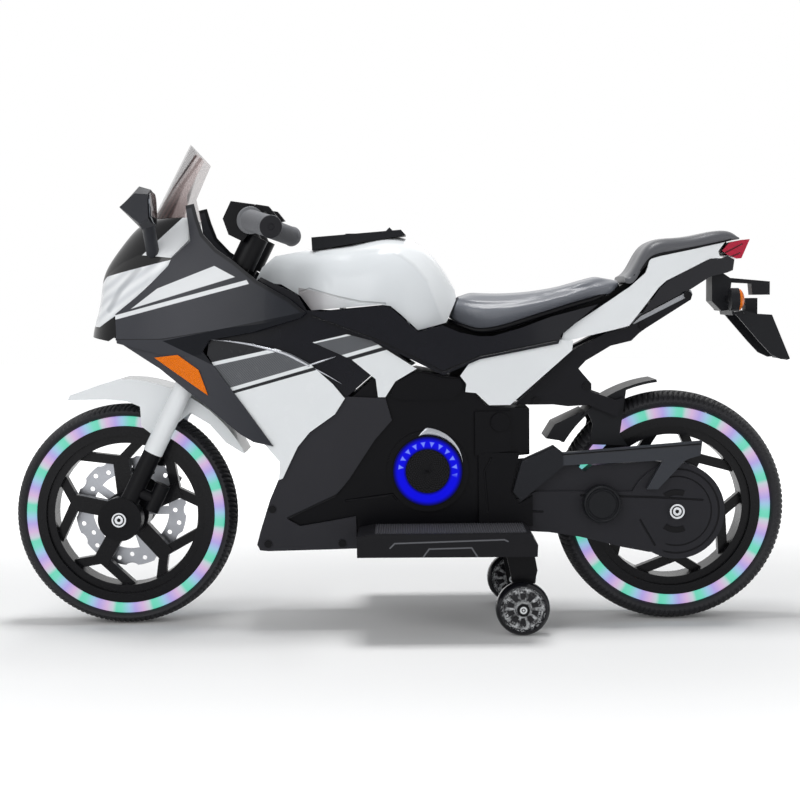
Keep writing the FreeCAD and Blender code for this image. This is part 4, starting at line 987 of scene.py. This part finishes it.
@dataclass
class Seat:
    """Padded seat, swelled from its solid, with a crease along each side."""

    voxel: float = 0.004
    shrink: float = 0.0012
    cap: float = 0.005
    hold: float = 0.25
    pressure: float = 4.0
    steps: int = 20
    bins: int = 40
    crease: Line = ((606, 829), (640, 818), (686, 816), (742, 825), (812, 849), (896, 879))
    crease_depth: float = 0.0028
    crease_width: float = 0.0042
    crease_inner: float = 0.03
    crease_blend: float = 0.02
    foot: Line = ((597, 776), (618, 764), (650, 751), (690, 758), (750, 784), (810, 810), (860, 830), (903, 861))
    foot_y: tuple[float, ...] = (-0.047, -0.0625, -0.0735, -0.077, -0.0785, -0.0735, -0.0645, -0.0485)
    tail: Line = ((928, 884), (945, 906), (962, 931), (1000, 944), (1050, 957), (1106, 973))
    tail_y: tuple[float, ...] = (-0.0605, -0.0585, -0.056, -0.052, -0.047, -0.043)

    def swell(self, pad: bpy.types.Object) -> None:
        """Blow the pad up as cloth under pressure, each point held within the cap and its edges held out."""
        before, normals = read(pad.data, "co"), read(pad.data, "normal")
        cloth = pad.modifiers.new("cloth", "CLOTH")
        cloth.settings.use_pressure = True
        cloth.settings.uniform_pressure_force = self.pressure
        cloth.settings.effector_weights.gravity = 0.0
        cloth.point_cache.frame_end = self.steps
        scene = bpy.context.scene
        for step in range(1, self.steps + 1):
            scene.frame_set(step)
        move = read(self.evaluated(pad), "co") - before
        move *= np.minimum(1.0, self.cap / np.maximum(np.linalg.norm(move, axis=1, keepdims=True), 1e-9))
        lift = np.einsum("ij,ij->i", move, normals)[:, None]
        move = normals * np.where(lift < 0, lift * self.hold, lift) * self.give(before)
        pad.modifiers.remove(cloth)
        pad.data.vertices.foreach_set("co", (before + move).ravel())
        scene.frame_set(1)

    def give(self, points: np.ndarray) -> np.ndarray:
        """How freely each point moves: 0 along the foot of the pad, 1 from half its local height up."""
        edges = np.linspace(points[:, 0].min(), points[:, 0].max(), self.bins + 1)
        place = np.clip(np.searchsorted(edges, points[:, 0]) - 1, 0, self.bins - 1)
        low, high = np.full(self.bins, np.inf), np.full(self.bins, -np.inf)
        np.minimum.at(low, place, points[:, 2])
        np.maximum.at(high, place, points[:, 2])
        share = (points[:, 2] - low[place]) / np.maximum(high[place] - low[place], 0.01)
        return np.clip((share - 0.12) / 0.38, 0, 1)[:, None]

    def sew(self, mesh: bpy.types.Mesh) -> None:
        """Press the crease in: a bell-shaped dip of points near the crease line, towards the middle plane."""
        points = read(mesh, "co")
        line = smooth_line([spot(*share) for share in self.crease], 120)
        height = np.interp(points[:, 0], line[:, 0], line[:, 1])
        side = np.clip((np.abs(points[:, 1]) - self.crease_inner) / self.crease_blend, 0, 1)
        dip = self.crease_depth * np.exp(-((points[:, 2] - height) / self.crease_width) ** 2) * side
        points[:, 1] -= np.sign(points[:, 1]) * dip
        mesh.vertices.foreach_set("co", points.ravel())

    def build(self) -> None:
        """Make the seat from its solid by remeshing, swelling, smoothing, subdividing and creasing."""
        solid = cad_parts["seat"]
        pad = add("seat_cushion", solid.data.copy())
        weld(pad.data, 1e-5)
        pad.matrix_world = solid.matrix_world
        self.bake(pad, "REMESH", mode="VOXEL", voxel_size=self.voxel)
        points = read(pad.data, "co") - read(pad.data, "normal") * self.shrink
        pad.data.vertices.foreach_set("co", points.ravel())
        self.swell(pad)
        self.bake(pad, "SMOOTH", factor=0.5, iterations=6)
        self.bake(pad, "SUBSURF", levels=1, render_levels=1)
        self.sew(pad.data)
        pad.data.polygons.foreach_set("use_smooth", np.ones(len(pad.data.polygons), dtype=bool))
        pad.data.materials.clear()
        pad.data.materials.append(SEAT.material())
        settle(pad, "chassis", ("seat",))
        self.piping().both().piece("seat_piping", BLACK, "chassis", "seat")

    def piping(self) -> Skin:
        """Black welts along the foot of the seat and of the pillion moulding, as flattened tubes."""
        return (strip(self.foot, self.foot_y, (0.006, 0.0085, 0.008, 0.006), 0.007, 60)
                + strip(self.tail, self.tail_y, (0.003, 0.006, 0.006, 0.003), 0.005, 60))

    def evaluated(self, pad: bpy.types.Object) -> bpy.types.Mesh:
        """The pad's mesh as its modifiers leave it."""
        return bpy.data.meshes.new_from_object(pad.evaluated_get(bpy.context.evaluated_depsgraph_get()))

    def bake(self, pad: bpy.types.Object, kind: str, **settings: object) -> None:
        """Apply one modifier with its settings."""
        modifier = pad.modifiers.new(kind.lower(), kind)
        for key, value in settings.items():
            setattr(modifier, key, value)
        pad.data = self.evaluated(pad)
        pad.modifiers.clear()


@dataclass
class Grips:
    """Ribbed rubber hand grips on both bar ends, laid out as their finish says."""

    radius: float = 0.0158
    bore: float = 0.01005

    def build(self, side: Side, name: str, body: str, node: str) -> None:
        """Turn a grip about the bar: rings between a flange and a rounded end, radius in a raised-cosine wave."""
        radius, length = self.radius, GRIP.length
        along = np.linspace(GRIP.margin, length - GRIP.margin, 140)
        wave = 0.5 + 0.5 * np.cos(TURN * along / GRIP.pitch)
        ribs = np.stack((radius - 0.0004 - 0.0009 * wave, along), -1)
        flange = np.array(((0.0, length - 0.0026), (self.bore, length - 0.0026), (self.bore, 0.0),
                           (radius + 0.0036, 0.0), (radius + 0.004, 0.001), (radius + 0.0036, 0.0048),
                           (radius, 0.0056)))
        end = np.array(((radius, length - 0.005), (radius + 0.0004, length - 0.003), (radius - 0.0006, length - 0.0004),
                        (radius - 0.004, length), (0.0046, length), (0.004, length - 0.0012), (0.0, length - 0.0012)))
        hand = np.array((1.0, side.value, 1.0))
        grip = Skin.turned(np.concatenate((flange, ribs, end)), hand * GRIP.start, hand * GRIP.run, 56)
        grip.piece(name, GRIP, body, "grip", (node,))


@dataclass
class Footing:
    """Ribbed mats on the footboards."""

    front: float = 462
    back: float = 722
    inner: float = 0.1005
    outer: float = 0.186
    top: float = spot(0, 270)[1]
    ribs: int = 62

    def build(self) -> None:
        """Tube along the board whose section is a flat rectangle with a top that rises and falls with each rib."""
        count = self.ribs * 6 + 1
        share = np.linspace(0, 1, count)
        x = spot(self.front, 0)[0] + share * (self.back - self.front) * WHEELBASE / 1000
        crest = np.clip(np.cos(TURN * share * self.ribs) * 2.5, -1, 1)
        rise = self.top + 0.0011 + 0.0007 * crest
        low = np.full(count, self.top + 0.0001)
        section = ((self.inner, low), (self.inner, rise), (self.outer - 0.002, rise), (self.outer, rise - 0.0008),
                   (self.outer, low))
        rings = np.stack([np.stack((x, np.full(count, -y), z), -1) for y, z in section], 1)
        Skin.tube(rings).both().piece("foot_mats", MAT, "chassis", "grip")


@dataclass
class Rollers:
    """Stabiliser wheels with a rounded tread, a sunk web and a hub."""

    radius: float = 0.039
    half: float = 0.013
    middle: float = 0.128
    bore: float = 0.00505

    def build(self, side: Side, name: str) -> None:
        """Turn the wheel section: tread rounded by a superellipse, web sunk on each face."""
        arc = np.linspace(-1, 1, 25)
        tread = np.stack((self.radius - 0.005 * np.abs(arc) ** 3.2, arc * self.half), -1)
        face = np.array(((0.0325, 1.0), (0.0312, 0.8), (0.0295, 0.62), (0.012, 0.62), (0.0105, 0.95),
                         (self.bore, 0.95)))
        right = face * (1.0, self.half)
        left = right[::-1] * (1.0, -1.0)
        profile = np.concatenate((tread, right, left))
        place = (ROLLER_AT[0], self.middle * side.value, ROLLER_AT[1])
        wheel = Skin.turned(profile, place, ACROSS, 72)
        body = "stabiliser_" + side.name.lower()
        wheel.piece(name, ROLLER, body, "black", ("stabiliser_wheel_" + side.name.lower(),))


@dataclass
class DriveCover:
    """Round motor cap on the gearbox with a rounded rim and a sunk face."""

    outer: float = 0.100
    inner: float = 0.0845
    section: Line = ((0.0, 0.0016), (0.0195, 0.0016), (0.0206, 0.0026), (0.0222, 0.0026), (0.0234, 0.0006),
                     (0.0246, 0.0), (0.026, 0.0004), (0.0271, 0.0016), (0.0275, 0.004))

    def build(self) -> None:
        """Turn the cap section, radius and depth below the outer face, about the motor axis."""
        rim = np.array(self.section) - (0.0, self.outer)
        back = np.array(((self.section[-1][0], -self.inner), (0.0, -self.inner)))
        cap = Skin.turned(np.concatenate((rim, back)), (MOTOR_AT[0], 0.0, MOTOR_AT[1]), ACROSS, 96)
        cap.piece("motor_cap_rim", DARK, "chassis", "black", ("motor_cap",))


@dataclass
class BodyTrim:
    """Silver duct blades, speaker crescent and mirror glasses."""

    blade: Line = ((172, 737), (225, 728), (264, 716), (304, 699), (330, 681), (347, 668))
    spur: Line = ((344, 669), (368, 680), (394, 691))
    lip: Line = ((344, 669), (374, 648), (403, 624))
    arc_r: float = 0.0520
    arc_y: float = -0.0931
    arc_from: float = 14
    arc_sweep: float = 90
    arc_rise: float = 0.0012
    glass_station: float = 83.6
    glass_share: float = 0.92

    def build(self) -> None:
        """Make each trim on both sides."""
        blades = strip(self.blade, -0.1000, (0.0008, 0.0034, 0.0036, 0.004, 0.0042, 0.003), 0.004)
        blades = blades + strip(self.spur, -0.0956, (0.003, 0.0036, 0.001), 0.004)
        blades = blades + strip(self.lip, -0.0985, (0.003, 0.0022, 0.0008), 0.003)
        blades.both().piece("duct_blades", SILVER, "chassis", "chrome")
        self.crescent().both().piece("speaker_crescent", STEEL, "chassis", "chrome")
        self.glasses().both().piece("mirror_glasses", MIRROR, "chassis", "chrome")

    def crescent(self) -> Skin:
        """Bright arc over the upper rear of the speaker badge, widest near its upper end."""
        share = np.linspace(0, 1, 40)
        turn = np.radians(self.arc_from + self.arc_sweep * share)
        out = np.stack((np.cos(turn), np.zeros_like(turn), np.sin(turn)), -1)
        half = 0.0003 + np.interp(share, (0, 0.5, 0.86, 1), (0.0, 0.0032, 0.0052, 0.0))
        centre = np.array((SPEAKER_AT[0], self.arc_y, SPEAKER_AT[1]))
        line = centre + out * (self.arc_r + half)[:, None]
        angle = np.linspace(0, TURN, 10, endpoint=False)
        ring = out[:, None] * (half[:, None] * np.cos(angle))[..., None]
        lift = np.array(ACROSS) * (-self.arc_rise * np.sin(angle))[None, :, None]
        return Skin.tube(line[:, None] + ring + lift)

    def glasses(self) -> Skin:
        """Flat mirror plate on the rear of the head, its edge a six-sided outline drawn in towards the middle."""
        corners = np.array(((-0.179, 1031), (-0.149, 1018), (-0.116, 1024), (-0.116, 1088), (-0.149, 1098),
                            (-0.179, 1084)))
        ring = smooth_line(np.concatenate((corners, corners[:1])), 49)[:-1]
        middle = ring.mean(axis=0)
        rows = []
        for share, back in ((1.0, 0.0), (1.0, 0.0012), (0.94, 0.0016), (0.5, 0.0019), (0.02, 0.002)):
            spread = middle + (ring - middle) * share * self.glass_share
            z = spread[:, 1] * BODY_HEIGHT / 1000
            x = spot(self.glass_station, 0)[0] + back + (spread[:, 1] - 1060) * -0.00001
            rows.append(np.stack((x, spread[:, 0], z), -1))
        return Skin.tube(np.stack(rows))


@dataclass
class Studio:
    """Pale floor, soft lights and the camera."""

    lens: float = 73.64
    place: Place = (0.0159, -2.450, 0.4944)
    yaw: float = -0.0059
    pitch: float = -0.0666
    roll: float = 0.0102
    floor_half: float = 9.0
    fade: float = 1.1
    fade_soft: float = 0.75
    glow: float = 0.03
    far_glow: float = 0.8
    surround: float = 0.3

    def camera(self) -> None:
        """Aim the camera by yaw, pitch and roll."""
        data = bpy.data.cameras.new("camera")
        data.lens = self.lens
        data.sensor_width = 36.0
        data.clip_end = 50.0
        rig = add("camera", data)
        ahead = Vector((math.sin(self.yaw) * math.cos(self.pitch), math.cos(self.yaw) * math.cos(self.pitch),
                        math.sin(self.pitch)))
        right = Vector((math.cos(self.yaw), -math.sin(self.yaw), 0.0))
        down = ahead.cross(right)
        turned = right * math.cos(self.roll) + down * math.sin(self.roll)
        above = right * math.sin(self.roll) - down * math.cos(self.roll)
        turn = Matrix((turned, above, -ahead)).transposed().to_4x4()
        rig.matrix_world = Matrix.Translation(self.place) @ turn
        bpy.context.scene.camera = rig

    def lamp(self, name: str, place: Sequence[float], target: Sequence[float], size: float, watts: float) -> None:
        """Square soft box aimed at a target."""
        data = bpy.data.lights.new(name, "AREA")
        data.size = size
        data.energy = watts
        lamp = add(name, data)
        lamp.location = place
        lamp.rotation_euler = (Vector(target) - Vector(place)).to_track_quat("-Z", "Y").to_euler()

    def world(self) -> None:
        """Even surround that shows white to the camera, gloss and glass."""
        world = bpy.data.worlds.new("surround")
        bpy.context.scene.world = world
        world.use_nodes = True
        nodes = world.node_tree.nodes
        graph = Graph(world.node_tree)
        lit = nodes["Background"]
        graph.link(lit.inputs["Color"], (0.96, 0.98, 1.0))
        graph.link(lit.inputs["Strength"], self.surround)
        white = graph.node("ShaderNodeBackground", {}, {"Color": (1.0, 1.0, 1.0)})
        either = graph.node("ShaderNodeMixShader", {}, {0: graph.seen(), 1: Value(graph, lit.outputs[0]), 2: white})
        graph.link(nodes["World Output"].inputs["Surface"], either)

    def floor(self) -> None:
        """Broad pale floor that blends into the white surround for the camera and keeps the shadow."""
        half = self.floor_half
        mesh = bpy.data.meshes.new("floor")
        mesh.from_pydata([(-half, -half, 0), (half, -half, 0), (half, half, 0), (-half, half, 0)], [], [(0, 1, 2, 3)])
        graph, paint = Graph.material("floor_paint")
        graph.feed(Base_Color=(0.88, 0.88, 0.88), Roughness=0.8, Specular_IOR_Level=0.1)
        reach = (graph.x * graph.x * 0.35 + graph.y * graph.y) ** 0.5
        lift = reach.over(self.fade, self.fade_soft) * self.far_glow + self.glow
        grey = graph.node("ShaderNodeCombineColor", {}, {0: lift, 1: lift, 2: lift})
        graph.feed(Emission_Color=graph.mix(graph.seen(), (0.0, 0.0, 0.0), grey), Emission_Strength=1.0)
        mesh.materials.append(paint)
        floor = add("floor", mesh)

    def build(self) -> None:
        """Set the whole stage."""
        bpy.context.scene.view_settings.view_transform = "Standard"
        self.camera()
        self.world()
        self.floor()
        self.lamp("key", (-1.5, -2.6, 1.5), (0.0, 0.0, 0.3), 2.0, 38.0)
        self.lamp("fill", (2.2, -2.6, 1.0), (0.1, 0.0, 0.35), 2.2, 21.0)
        self.lamp("back", (0.3, 2.4, 2.4), (0.0, 0.0, 0.4), 2.4, 14.0)
        self.lamp("top", (0.0, 0.05, 3.0), (0.0, 0.05, 0.0), 0.9, 50.0)


def dress_nodes() -> None:
    """Give every packed solid its finish."""
    for finish, names in NODE_FINISH.items():
        for name in names:
            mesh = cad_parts[name].data
            mesh.materials.clear()
            mesh.materials.append(finish.material())
        LOG.info("%s on %s", finish.name, ", ".join(names))


def main() -> None:
    """Build the stage, dress the solids and add the made pieces."""
    logging.basicConfig(level=logging.INFO, format="%(message)s")
    Studio().build()
    dress_nodes()
    Wheel("front", (FRONT_X, FRONT_R), FRONT_R, 0.031, FRONT_RING).build()
    Wheel("rear", (REAR_X, REAR_R), REAR_R, 0.035, REAR_RING).build()
    Seat().build()
    Grips().build(Side.LEFT, "grip_left_rubber", "steering", "grip_left")
    Grips().build(Side.RIGHT, "throttle_rubber", "throttle", "throttle_grip")
    Footing().build()
    Rollers().build(Side.LEFT, "roller_left")
    Rollers().build(Side.RIGHT, "roller_right")
    DriveCover().build()
    BodyTrim().build()


if __name__ == "__main__":
    main()
